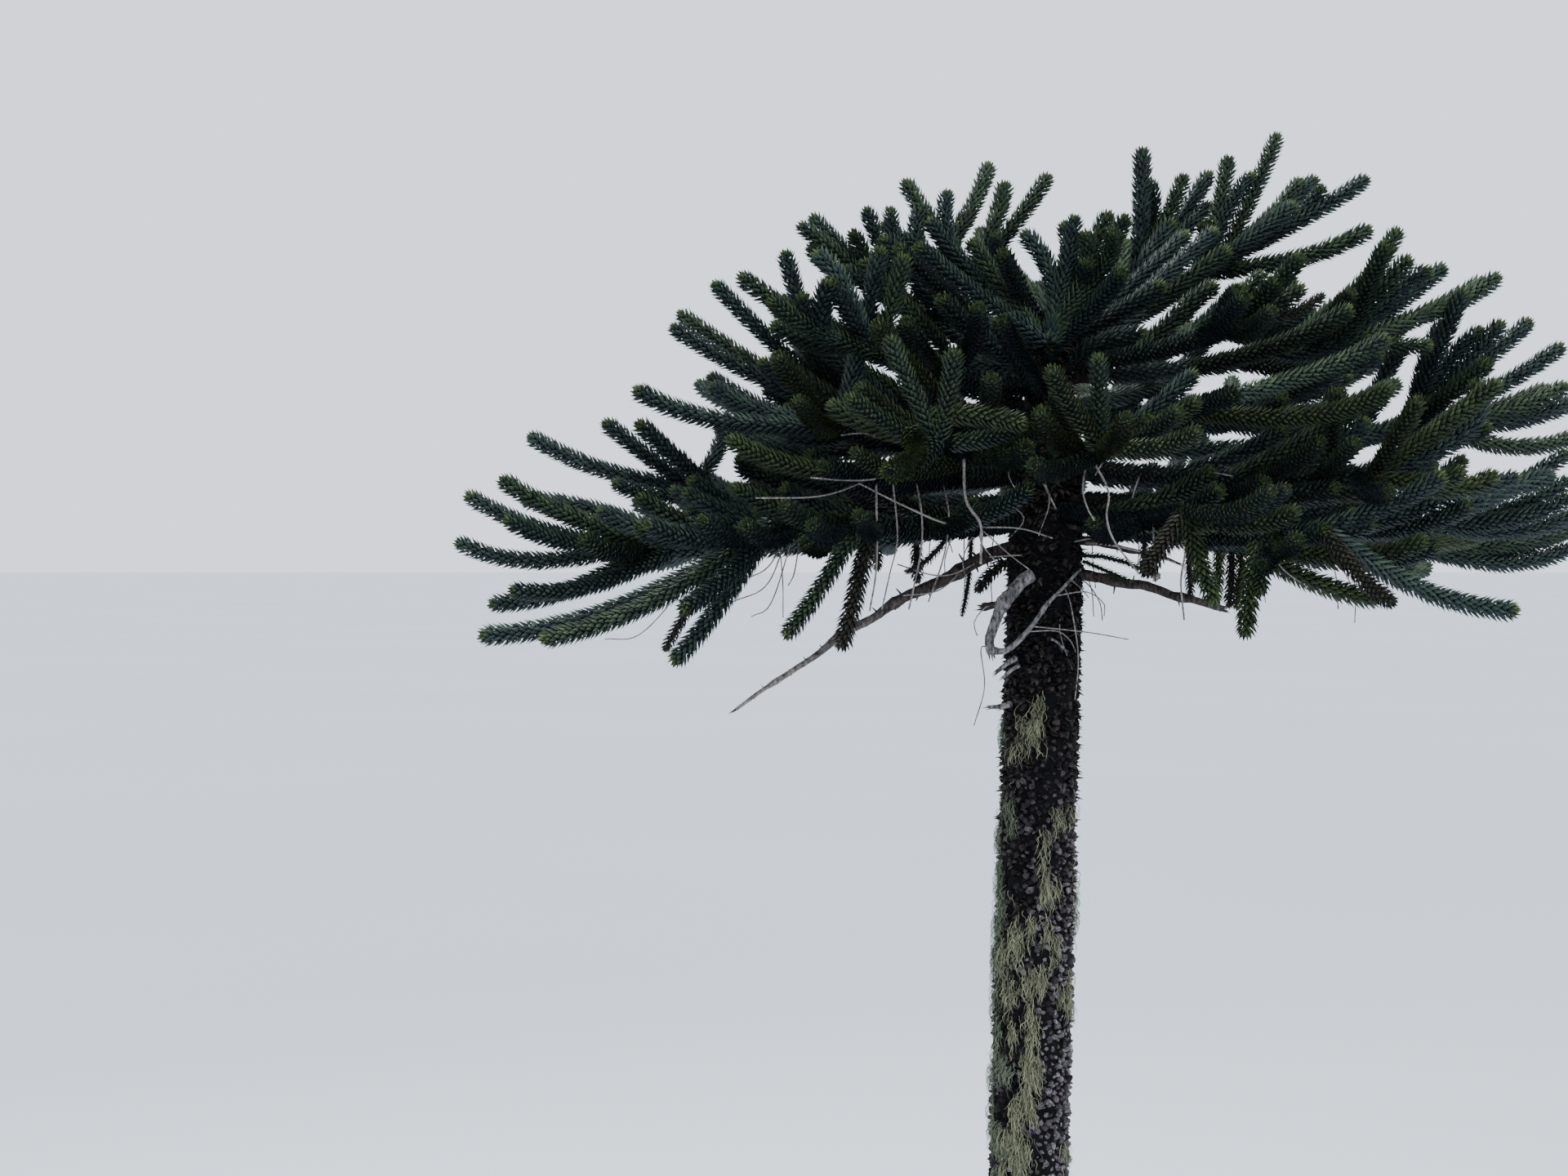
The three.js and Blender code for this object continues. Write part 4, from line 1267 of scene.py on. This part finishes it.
def bark_size(height):
    """Size of the bark's relief and knobs, less on the slim top of the trunk."""
    return np.clip(trunk_radius(height) / FULL_BARK_RADIUS, 0.4, 1)


def make_trunk(material):
    random = np.random.default_rng(11)
    heights = np.concatenate([
        np.arange(0, FINE_RINGS_FROM, 40), np.arange(FINE_RINGS_FROM, TRUNK_TOP, 22), [TRUNK_TOP],
    ])
    u, height = np.meshgrid(np.arange(TRUNK_SIDES) / TRUNK_SIDES, heights)
    angle = 2 * math.pi * u
    relief = 0
    for depth, cells_round, cells_up in BARK_RELIEF:
        relief += depth * smooth_noise(random, u, height / TRUNK_TOP, cells_round, cells_up)
    relief *= bark_size(height)
    points = trunk_point(angle, height, trunk_surface(angle, height) + relief)
    poles = np.array([[0, 0, 0], [trunk_middle(TRUNK_TOP), 0, TRUNK_TOP + 15]])
    heap = Heap()
    add_closed(heap, points, poles, MIDDLE_MARKS)
    make_piece("trunk_bark", heap, material, ["trunk"])


KNOB_CORNERS = 5
KNOB_SPACING = 26
KNOB_WIDTHS = (20, 44)
KNOB_BULGES = (7, 27)
KNOB_LOWEST = 42  # height of a knob's middle, so that none reaches the ground
KNOB_TOP = 0.55  # width of the ring below a knob's top, as part of its foot's
GREY_AZIMUTH = 325  # where the grey knobs are thickest: the side the light falls on, painted light over weathered patches
GREY_HEIGHTS = (3500, 4900)  # grey is thick up to the first and gone from the second
SHADED_HEIGHTS = (4850, 5350)  # between these the bark darkens towards the crown
SHADED_LOSS = 0.75  # of a knob's lot, that tells how bright it is


def rising(height, heights):
    """From 0 at the first of two heights to 1 at the second."""
    low, high = heights
    return ease((height - low) / (high - low))


def trunk_frame(angle):
    """Directions out of the trunk, round it and up, at these angles."""
    out = np.stack([np.cos(angle), np.sin(angle), 0 * angle], axis=1)
    side = np.stack([-np.sin(angle), np.cos(angle), 0 * angle], axis=1)
    upward = np.broadcast_to(np.array([0, 0, 1.0]), out.shape)
    return out, side, upward


def add_knobs(heap, random, angle, height, width, bulge, grey, lot):
    """Rough knobs, each with its own uneven rim and top."""
    count = len(angle)
    out, side, upward = trunk_frame(angle)
    place = trunk_point(angle, height, trunk_surface(angle, height) - 5)
    turn = 2 * math.pi * (np.arange(KNOB_CORNERS) + random.uniform(0, 1, (count, 1))) / KNOB_CORNERS
    rim = 0.5 * width[:, None] * random.uniform(0.65, 1.35, (count, KNOB_CORNERS))
    across = (np.cos(turn) * rim)[..., None] * side[:, None]
    along = (np.sin(turn) * rim * random.uniform(0.75, 1.1, (count, 1)))[..., None] * upward[:, None]
    rise = bulge[:, None] * random.uniform(0.5, 1.0, (count, KNOB_CORNERS))
    shift = random.normal(0, 0.12, (count, 1, 2)) * width[:, None, None]
    shift = shift[..., :1] * side[:, None] + shift[..., 1:] * upward[:, None]
    foot = place[:, None] + across + along
    top = place[:, None] + KNOB_TOP * (across + along) + rise[..., None] * out[:, None] + shift
    peak = place[:, None] + (1.1 * bulge)[:, None, None] * out[:, None] + 1.3 * shift
    corners = 2 * KNOB_CORNERS + 1
    marks = np.zeros((count, corners, 3))
    marks[:, KNOB_CORNERS:, 0] = 0.8
    marks[:, -1, 0] = 1
    marks[:, :, 1] = lot[:, None]
    marks[:, :, 2] = grey[:, None]
    cap = cap_faces(KNOB_CORNERS, KNOB_CORNERS, corners - 1, False)
    heap.add(
        np.concatenate([foot, top, peak], axis=1), marks.reshape(-1, 3),
        repeated(ring_faces(2, KNOB_CORNERS), count, corners), repeated(cap, count, corners))


def make_knobs(material):
    """Knobby old leaf bases all up the trunk, in the spiral rows of the leaves. The third
    mark says how grey a knob is: weathered patches, thickest on the lit side as painted light; below
    the crown their lots dim as painted shade."""
    random = np.random.default_rng(23)
    girth = 2 * math.pi * np.interp(TRUNK_TOP / 2, TRUNK_HEIGHTS, TRUNK_RADII)
    count = int(girth * TRUNK_TOP / KNOB_SPACING ** 2)
    height = (np.arange(count) + 0.5) / count * (TRUNK_TOP - 30)
    angle = (GOLDEN_ANGLE * np.arange(count)) % (2 * math.pi) + random.normal(0, 0.035, count)
    height = np.clip(height + random.normal(0, 6, count), KNOB_LOWEST, TRUNK_TOP - 20)
    width = random.uniform(*KNOB_WIDTHS, count) * bark_size(height)
    bulge = random.uniform(*KNOB_BULGES, count) * bark_size(height)
    patch = smooth_noise(random, (angle / (2 * math.pi)) % 1, height / TRUNK_TOP, 9, 60)
    # painted light: knobs turn grey most on the side the light falls on
    to_light = 0.5 + 0.5 * np.cos(angle - math.radians(GREY_AZIMUTH))
    fading = 1 - rising(height, GREY_HEIGHTS)
    grey = (1.5 * to_light ** 2 + 0.5 * patch) * fading * random.uniform(0.3, 1.3, count)
    lot = random.uniform(0, 1, count) * (1 - SHADED_LOSS * rising(height, SHADED_HEIGHTS))
    heap = Heap()
    add_knobs(heap, random, angle, height, width, bulge, np.clip(grey, 0, 1), lot)
    make_piece("bark_knobs", heap, material, ["trunk"], smooth=False)


SCALE_COUNT = 3600
SCALE_HEIGHTS = (3900, 6350)
SCALE_LENGTHS = (24, 50)
SCALE_WIDTHS = (18, 34)


def make_trunk_scales(material):
    """Dead leaves that still stand out from the upper trunk."""
    random = np.random.default_rng(29)
    low, high = SCALE_HEIGHTS
    height = low + (high - low) * np.sqrt(random.uniform(0, 1, SCALE_COUNT))
    angle = random.uniform(0, 2 * math.pi, SCALE_COUNT)
    out, side, upward = trunk_frame(angle)
    droop = np.radians(random.normal(-8, 30, SCALE_COUNT))[:, None]
    turn = np.radians(random.normal(0, 35, SCALE_COUNT))[:, None]
    axis = np.cos(droop) * (np.cos(turn) * out + np.sin(turn) * side) + np.sin(droop) * upward
    across = unit(np.cross(upward, axis))
    back = np.cross(axis, across)
    place = trunk_point(angle, height, trunk_surface(angle, height) - 4)
    sprays = Sprays()
    length = random.uniform(*SCALE_LENGTHS, SCALE_COUNT)
    width = random.uniform(*SCALE_WIDTHS, SCALE_COUNT)
    lots = random.uniform(0, 1, (2, SCALE_COUNT))
    add_leaves(sprays, place, axis, across, back, length, width, lots)
    make_piece("trunk_scales", sprays.heaps[0], material, ["trunk"], smooth=False)


# Tufts of lichen on the trunk: azimuth, height, half width in degrees, half height
LICHEN = [
    (239, 4760, 24, 73), (270, 4869, 15, 40), (217, 4414, 12, 80), (195, 4252, 20, 130),
    (190, 4074, 20, 100), (270, 4291, 12, 46), (298, 4414, 10, 46), (327, 4427, 8, 50),
    (330, 4229, 6, 26), (275, 4107, 20, 50), (190, 3899, 25, 115), (248, 3958, 14, 82),
    (287, 3965, 10, 60), (225, 3836, 14, 100), (295, 3873, 7, 26), (232, 3737, 10, 40),
    (185, 3757, 15, 80), (268, 3757, 25, 50), (318, 3777, 14, 66), (262, 3632, 8, 46),
    (245, 3592, 16, 40), (262, 3543, 8, 73), (335, 3632, 10, 66), (205, 3605, 8, 66),
    (255, 3371, 18, 100), (205, 3279, 25, 200), (252, 3183, 14, 180), (240, 3051, 18, 100),
    (325, 3031, 10, 50),
]
FURTHER_LICHEN = 42  # tufts out of the photograph's sight
PHOTO_FOOT = 2970  # height of the photograph's lower edge at the trunk
SHADY_AZIMUTH = 190  # where lichen is thickest, and grey
STRAND_AREA = 85  # of a tuft, for each strand
CLUMP_AREA = 2400  # of a tuft, for each clump of strands
STRAND_STEPS = 4
STRAND_LENGTHS = (18, 80)
STRAND_WIDTHS = (1.6, 4)
STRAND_BULGES = (10, 36)  # how far strands stand off the bark


def further_lichen(random):
    """Tufts below the photograph's edge and round the back of the trunk."""
    tufts = []
    while len(tufts) < FURTHER_LICHEN:
        height = random.uniform(450, 4900)
        azimuth = random.normal(SHADY_AZIMUTH, 75) % 360
        if height > PHOTO_FOOT and 190 < azimuth < 350:
            continue
        tufts.append((azimuth, height, random.uniform(8, 22), random.uniform(40, 130)))
    return tufts


def add_strands(heap, random, tuft):
    """Wispy strands in small clumps, each hanging from the bark by its upper end."""
    azimuth, middle, half_angle, half_height = tuft
    radius = trunk_radius(middle)
    half_width = math.radians(half_angle) * radius
    area = 4 * half_width * half_height
    clumps = max(2, int(area / CLUMP_AREA))
    count = int(area / STRAND_AREA)
    own = random.integers(clumps, size=count)
    across = (half_width * random.uniform(-1, 1, clumps))[own] + random.normal(0, 12, count)
    height = (half_height * random.uniform(-1, 1, clumps))[own] + random.normal(20, 26, count)
    height += middle
    angle = math.radians(azimuth) + across / radius
    length = random.uniform(*STRAND_LENGTHS, count)
    out, side, upward = trunk_frame(angle)
    off = random.uniform(*STRAND_BULGES, count)
    width = random.uniform(*STRAND_WIDTHS, count)
    flat = unit(side + random.uniform(-1, 1, (count, 1)) * out)
    place = trunk_point(angle, height, trunk_surface(angle, height))
    sway = np.zeros(count)
    rows = []
    for step in range(STRAND_STEPS + 1):
        part = step / STRAND_STEPS
        bulge = off * math.sin(math.pi * (0.15 + 0.7 * part))
        sway = sway + random.normal(0, 6, count)
        line = place + bulge[:, None] * out + sway[:, None] * side
        line = line - (length * part)[:, None] * upward
        half = (0.5 * width * (1 - 0.45 * part))[:, None] * flat
        rows += [line - half, line + half] if step < STRAND_STEPS else [line]
    corners = 2 * STRAND_STEPS + 1
    quads = np.array([(k, k + 1, k + 3, k + 2) for k in range(0, corners - 3, 2)])
    end = np.array([(corners - 3, corners - 2, corners - 1)])
    marks = np.zeros((count, corners, 3))
    marks[:, :, 0] = np.linspace(0, 1, corners)
    marks[:, :, 1] = random.uniform(0, 1, count)[:, None]
    heap.add(
        np.stack(rows, axis=1), marks.reshape(-1, 3),
        repeated(quads, count, corners), repeated(end, count, corners))


def make_lichen(straw_material, grey_material):
    random = np.random.default_rng(37)
    straw = Heap()
    grey = Heap()
    for tuft in LICHEN + further_lichen(random):
        # the darker grey lichen on the shady side: partly its own greener colour, partly painted shade
        in_shade = math.cos(math.radians(tuft[0] - SHADY_AZIMUTH)) > 0.85
        add_strands(grey if in_shade else straw, random, tuft)
    make_piece("lichen_straw", straw, straw_material, ["trunk"], smooth=False)
    make_piece("lichen_grey", grey, grey_material, ["trunk"], smooth=False)


BOUGH_SIDES = 8
BOUGH_RINGS = 36
BOUGH_TAPER = [1.1, 0.62, 0.3]  # its radius at the foot, where its leaves start and at the end


def make_boughs(rows, curves, material, nodes):
    random = np.random.default_rng(31)
    heap = Heap()
    for row, curve in zip(rows, curves):
        path = path_of(curve)
        foot = BOUGH_RADIUS + BOUGH_RADIUS_PER_REACH * row["reach"]
        distances = np.linspace(0.04, 0.99, BOUGH_RINGS) * path.length
        radii = foot * np.interp(distances / path.length, [0, LEAFY_FROM, 1], BOUGH_TAPER)
        bulge = 1 + random.uniform(-0.16, 0.16, (len(distances), BOUGH_SIDES))
        add_tube(heap, path, distances, radii, BOUGH_SIDES, bulge=bulge)
    make_piece("bough_bark", heap, material, nodes)


# Dead wood

def dead_curve(row):
    return limb_curve(row, row["tip"] - row["foot"], *row["slopes"])


# Pixels of the photograph along the middles of the broken limb, of the arm that turns
# back up from it, and of the snapped ends of lower limbs, with their depths
BROKEN_LIMB_PIXELS = [
    (1264, 704), (1254, 709), (1243, 723), (1229, 739), (1219, 763), (1211, 784), (1213, 799),
]
BROKEN_LIMB_DEPTHS = (-140, -212)
BROKEN_ARM_PIXELS = [
    (1210, 795), (1229, 797), (1246, 785), (1261, 769), (1277, 749), (1303, 718), (1323, 697),
]
BROKEN_ARM_DEPTHS = (-212, -188)
SNAPPED_ENDS = [
    (12, -130, [(1244, 806), (1234, 812), (1221, 822)]),
    (8, -136, [(1248, 815), (1239, 820), (1229, 829)]),
    (11, -90, [(1238, 862), (1225, 865), (1213, 866)]),
    (6, -140, [(1286, 782), (1294, 786), (1302, 794)]),
]
DEAD_SIDES = 12
DEAD_RING_STEP = 12
KNOT_STEP = 46
KNOT_SIZE = 0.3  # as part of the limb's radius
GRAIN_SIZE = 0.13
THORNS_PER_METRE = 16
THORN_SIDES = 5
THORN_LENGTHS = (0.6, 1.6)  # as parts of the limb's radius
THORN_TAPER = np.linspace(0.34, 0.1, 5)  # its radii, as parts of the limb's
SPLINTERS = 7
SPLINTER_SIDES = 4
SPLINTER_LENGTHS = (14, 42)
SPLINTER_TAPER = np.array([0.3, 0.24, 0.15, 0.045])
GREY_REACH = 1300  # length of dead limb over which it weathers from brown to grey


def smooth_line(points, steps=10):
    """A rounded line through all of the points."""
    points = np.asarray(points, float)
    padded = np.concatenate([[2 * points[0] - points[1]], points, [2 * points[-1] - points[-2]]])
    t = np.linspace(0, 1, steps, endpoint=False)[:, None]
    pieces = []
    for a, b, c, d in zip(padded, padded[1:], padded[2:], padded[3:]):
        bend = 2 * a - 5 * b + 4 * c - d + t * (3 * (b - c) + d - a)
        pieces.append(b + 0.5 * t * (c - a + t * bend))
    return np.concatenate(pieces + [points[-1:]])


def crooked(path, random, reach, steps):
    """The same line with small bends, its two ends where they were."""
    distances = np.linspace(0, path.length, steps)
    place, _, across, up = path.frame_at(distances)
    part = distances / path.length
    fade = np.minimum(1, 6 * np.minimum(part, 1 - part))[:, None]
    shift = random.normal(0, reach, (steps, 2))
    return Path(smooth_line(place + fade * (shift[:, :1] * across + shift[:, 1:] * up), 5))


def add_dead_limb(heap, random, path, thick, thin, ragged=True):
    """A weathered limb with knots, stubs of twigs and, if snapped, a splintered end."""
    distances = np.linspace(0, path.length, max(10, int(path.length / DEAD_RING_STEP)))
    rings = len(distances)
    part = distances / path.length
    swell = np.maximum(0, np.sin(distances / KNOT_STEP + random.uniform(0, 6))) ** 6
    u, v = np.meshgrid(np.arange(DEAD_SIDES) / DEAD_SIDES, part)
    grain = GRAIN_SIZE * smooth_noise(random, u, v, 6, max(4, rings // 5))
    grain = grain + random.uniform(-0.05, 0.05, (rings, DEAD_SIDES))
    bulge = (1 + grain) * (1 + KNOT_SIZE * swell)[:, None]
    marks = marks_along(np.clip(distances / GREY_REACH, 0, 1), DEAD_SIDES)
    add_tube(heap, path, distances, thick + (thin - thick) * part, DEAD_SIDES, marks, bulge)
    for _ in range(int(THORNS_PER_METRE * path.length * MM)):
        at = random.uniform(0.08, 0.97)
        place, ahead, across, up = (rows[0] for rows in path.frame_at([at * path.length]))
        out = around(random.uniform(0, 2 * math.pi), across, up)
        radius = thick + (thin - thick) * at
        length = radius * random.uniform(*THORN_LENGTHS)
        tip = place + out * (radius + length) + ahead * length * random.uniform(0.1, 0.9)
        add_spike(heap, place, tip, radius * THORN_TAPER, THORN_SIDES)
    if ragged:
        add_splinters(heap, random, path, thin)


def add_splinters(heap, random, path, radius):
    """Splinters that stand on from a snapped end."""
    place, ahead, across, up = (rows[0] for rows in path.frame_at([path.length - 4]))
    for k in range(SPLINTERS):
        out = around(2 * math.pi * k / SPLINTERS, across, up)
        base = place + 0.6 * radius * out
        tip = base + ahead * random.uniform(*SPLINTER_LENGTHS) + out * random.uniform(-4, 6)
        add_spike(heap, base, tip, radius * SPLINTER_TAPER, SPLINTER_SIDES)


def traced_path(pixels, depths):
    """A line through pixels of the photograph, its depth going from first to last."""
    ends = np.linspace(*depths, len(pixels))
    return Path(smooth_line([photo_point(*pair) for pair in zip(pixels, ends)], 8))


def make_dead_wood(grey_material, brown_material):
    random = np.random.default_rng(41)
    brown = Heap()
    for row in DEAD_LIMBS.values():
        limb = crooked(path_of(dead_curve(row)), random, 5, 12)
        add_dead_limb(brown, random, limb, *row["radii"])
    make_piece("dead_limbs", brown, brown_material, list(DEAD_LIMBS))
    grey = Heap()
    limb = traced_path(BROKEN_LIMB_PIXELS, BROKEN_LIMB_DEPTHS)
    arm = traced_path(BROKEN_ARM_PIXELS, BROKEN_ARM_DEPTHS)
    add_dead_limb(grey, random, crooked(limb, random, 2, 8), 29, 18)
    add_dead_limb(grey, random, crooked(arm, random, 2, 9), 13, 5, ragged=False)
    for thick, depth, pixels in SNAPPED_ENDS:
        add_dead_limb(grey, random, traced_path(pixels, (depth, depth - 30)), thick, 0.7 * thick)
    replaced = ["dead_limb_broken", "dead_limb_broken_arm"]
    make_piece("dead_limb_broken", grey, grey_material, replaced)


# Dry whips: thickness at the start, how far before their carrier they swing, and the
# pixels of the photograph that they pass, from the limb outward
WHIPS = [
    (6, 750, [(1197, 658), (1155, 640), (1104, 618), (1052, 592)]),
    (6, 280, [(1063, 612), (1074, 668), (1072, 707), (1065, 748)]),
    (5, 300, [(1099, 618), (1099, 657), (1090, 701), (1080, 746)]),
    (6, 300, [(1122, 597), (1129, 634), (1127, 679), (1113, 746)]),
    (5, 300, [(1154, 586), (1162, 634), (1155, 684), (1137, 737)]),
    (8, 320, [(1163, 580), (1183, 612), (1201, 643), (1201, 690)]),
    (5, 300, [(1201, 643), (1249, 647), (1289, 659)]),
    (5, 160, [(1200, 687), (1169, 702), (1141, 704), (1099, 691)]),
    (5, 160, [(1193, 707), (1149, 723), (1106, 729)]),
    (5, 160, [(1285, 684), (1249, 680), (1212, 682)]),
    (4, 160, [(1209, 669), (1235, 678), (1260, 697)]),
    (5, 300, [(1083, 584), (1058, 588), (1030, 588), (993, 585)]),
    (5, 300, [(1086, 532), (1058, 531), (1030, 533)]),
    (4, 120, [(1268, 770), (1330, 774), (1382, 783)]),
    (6, 260, [(1243, 532), (1263, 563), (1293, 623)]),
    (5, 300, [(1380, 505), (1362, 532), (1354, 559), (1341, 582)]),
    (4, 300, [(1340, 497), (1332, 511), (1336, 519)]),
    (5, 300, [(1340, 558), (1329, 573), (1326, 601), (1332, 623), (1340, 637)]),
    (6, 300, [(1369, 573), (1357, 601), (1355, 632), (1364, 662), (1394, 702)]),
    (5, 300, [(1394, 590), (1387, 609), (1389, 632), (1394, 650)]),
    (5, 300, [(1475, 559), (1484, 579), (1509, 583)]),
    (6, 240, [(1475, 658), (1454, 661), (1446, 666), (1452, 672), (1446, 712), (1450, 759)]),
    (5, 160, [(1290, 673), (1321, 662), (1350, 657)]),
    (4, 120, [(1318, 715), (1325, 722), (1333, 732)]),
    (8, 200, [(1323, 659), (1365, 668), (1412, 679), (1439, 689)]),
    (7, 260, [(1348, 626), (1393, 634), (1457, 650)]),
    (4, 160, [(1540, 677), (1570, 696), (1603, 720)]),
    (4, 160, [(965, 673), (940, 695), (900, 712)]),
    (4, 160, [(968, 680), (940, 715), (897, 737)]),
    (4, 120, [(980, 722), (945, 737), (920, 755)]),
    (4, 120, [(832, 752), (790, 772), (740, 783)]),
    (4, 160, [(985, 668), (973, 700), (965, 717)]),
    (4, 160, [(1030, 668), (1012, 695), (1004, 722)]),
    (5, 280, [(1055, 595), (1008, 607), (925, 610)]),
]
CONE_THREAD = (5, 120, [(1413, 668), (1414, 690), (1415, 700)])  # an old cone's twig
CONE_RADIUS = 17
CONE_SCALES = 60
CONE_SCALE_RADII = [7, 6, 2]
FURTHER_WHIPS = 44
WHIP_SIDES = 5
WHIP_RADIUS = 0.72  # at the start, as part of the whip's thickness
WHIP_TAPER = 0.2
WHIP_RING_STEP = 22
FURTHER_THICK = 4
FURTHER_LEAN = (-40, 10)  # how steeply a further whip sets off
FURTHER_OUT = (60, 160)
FURTHER_FALL = (40, 170)
NEARER_FIRST = 0.06  # pixels that a limb may be off for each millimetre it is nearer


def add_whip(heap, random, points, thick):
    path = Path(smooth_line(points, 8))
    distances = np.linspace(0, path.length, max(8, int(path.length / WHIP_RING_STEP)))
    part = distances / path.length
    radii = WHIP_RADIUS * thick * (1 - WHIP_TAPER * part)
    radii = radii * random.uniform(0.88, 1.12, len(distances))
    add_tube(heap, path, distances, radii, WHIP_SIDES, marks_along(part, WHIP_SIDES))


def add_old_cone(heap, random, top):
    """A small ragged cone, its scales standing off a dark core."""
    middle = top - np.array([0, 0, CONE_RADIUS])
    for out in unit(random.normal(0, 1, (CONE_SCALES, 3))):
        tip = middle + out * CONE_RADIUS * random.uniform(0.8, 1.25)
        # marked as an outer end, the cone takes the twigs' near-black far colour
        add_spike(heap, middle, tip, CONE_SCALE_RADII, WHIP_SIDES, (1, 0.5, 0.5))


def make_whips(material, carriers, nodes):
    """Bare dry twigs that curve down and out from the limbs."""
    random = np.random.default_rng(53)
    heap = Heap()
    for thick, before, pixels in WHIPS + [CONE_THREAD]:
        base = nearest_seen(pixels[0], carriers, NEARER_FIRST)
        depths = base[1] - before * np.sqrt(np.linspace(0, 1, len(pixels)))
        points = [photo_point(pixel, depth) for pixel, depth in zip(pixels, depths)]
        points[0] = base
        add_whip(heap, random, points, thick)
    add_old_cone(heap, random, points[-1])
    behind = carriers[(carriers[:, 1] > -300) & (carriers[:, 2] < DATUM + 500)]
    for _ in range(FURTHER_WHIPS):
        base = behind[random.integers(len(behind))]
        azimuth = math.degrees(math.atan2(base[1], base[0])) + random.normal(0, 50)
        out = direction(azimuth, random.uniform(*FURTHER_LEAN)) * random.uniform(*FURTHER_OUT)
        fall = np.array([0, 0, -random.uniform(*FURTHER_FALL)])
        sway = direction(azimuth + 90, 0) * random.normal(0, 40)
        low = base + 1.5 * out + fall + sway
        end = base + 1.6 * out + 2 * fall
        add_whip(heap, random, [base, base + out, low, end], FURTHER_THICK)
    make_piece("dry_whips", heap, material, nodes)


# Assembly

def nodes_named(start):
    return sorted(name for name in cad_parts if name.startswith(start))


def grow_tree():
    """Every bough's row and curve, and every shoot."""
    rows = list(BOUGHS.values())
    curves = [bough_curve(row) for row in rows]
    crowd = Crowd()
    shoots = grow_main_shoots(rows, curves, crowd)
    random = np.random.default_rng(FURTHER_SEED)
    further = further_boughs(random)
    further_curves = [bough_curve(row) for row in further]
    for number, curve in enumerate(further_curves, len(rows)):
        crowd.add(curve, BOUGH_FREE_FROM, BOUGH_SAMPLES, number)
    curves_by_name = dict(zip(BOUGHS, curves))
    traced = traced_shoots(curves_by_name, shoots)
    for shoot in traced:
        crowd.add(shoot.curve, TRACED_FREE_FROM, PLACED_SAMPLES, NO_BOUGH)
    shoots += traced + hanging_shoots(curves_by_name)
    rows += further
    curves += further_curves
    shoots += grow_fill_shoots(rows, curves, shoots, crowd, random)
    return rows, curves, shoots


def limb_points(curves):
    """Points along all limbs, for the dry twigs to start from."""
    limbs = [on_curve(curve, np.linspace(0.12, 0.8, 40)) for curve in curves]
    middle = [trunk_point(0.0, height, 0.0) for height in np.arange(5050, 6300, 12)]
    dead = [
        on_curve(dead_curve(row), np.linspace(0.15, 0.9, 30)) for row in DEAD_LIMBS.values()
    ]
    arm = traced_path(BROKEN_ARM_PIXELS, BROKEN_ARM_DEPTHS).points
    return np.concatenate(limbs + [np.stack(middle)] + dead + [arm])


def make_bark():
    # the trunk's own skin is near black: it shows only in the gaps between knobs, as painted shade
    make_trunk(wood_material("bark", srgb(5, 4, 6), srgb(17, 15, 17), srgb(10, 9, 11), 42))
    make_knobs(knob_material("bark knobs"))
    make_trunk_scales(
        leaf_material("dead leaf", srgb(10, 9, 10), srgb(32, 27, 26), srgb(92, 82, 72)))
    make_lichen(
        lichen_material("lichen straw", srgb(66, 68, 50), srgb(166, 166, 132)),
        lichen_material("lichen grey", srgb(52, 60, 47), srgb(134, 143, 114)))


def main():
    make_camera()
    make_light()
    make_floor()
    rows, curves, shoots = grow_tree()
    make_bark()
    bough_bark = wood_material(
        "bough bark", srgb(24, 20, 19), srgb(54, 46, 42), srgb(72, 66, 60), 70)
    make_boughs(rows, curves, bough_bark, nodes_named("bough_"))
    make_dead_wood(
        wood_material("dead wood grey", srgb(54, 52, 53), srgb(138, 135, 134), srgb(38, 36, 37), 80),
        wood_material("dead wood brown", srgb(28, 24, 24), srgb(74, 65, 61), srgb(22, 19, 19), 80,
            far=srgb(146, 140, 136)))
    # far: the dry twigs go near black towards their outer ends, painted shade of ends that stand dark
    # against the sky
    twig = wood_material(
        "dry twig", srgb(92, 86, 85), srgb(160, 153, 149), srgb(70, 65, 64), 120,
        far=srgb(8, 8, 10))
    make_whips(twig, limb_points(curves), nodes_named("bough_"))
    make_foliage(rows, curves, shoots, nodes_named("foliage_"))


main()
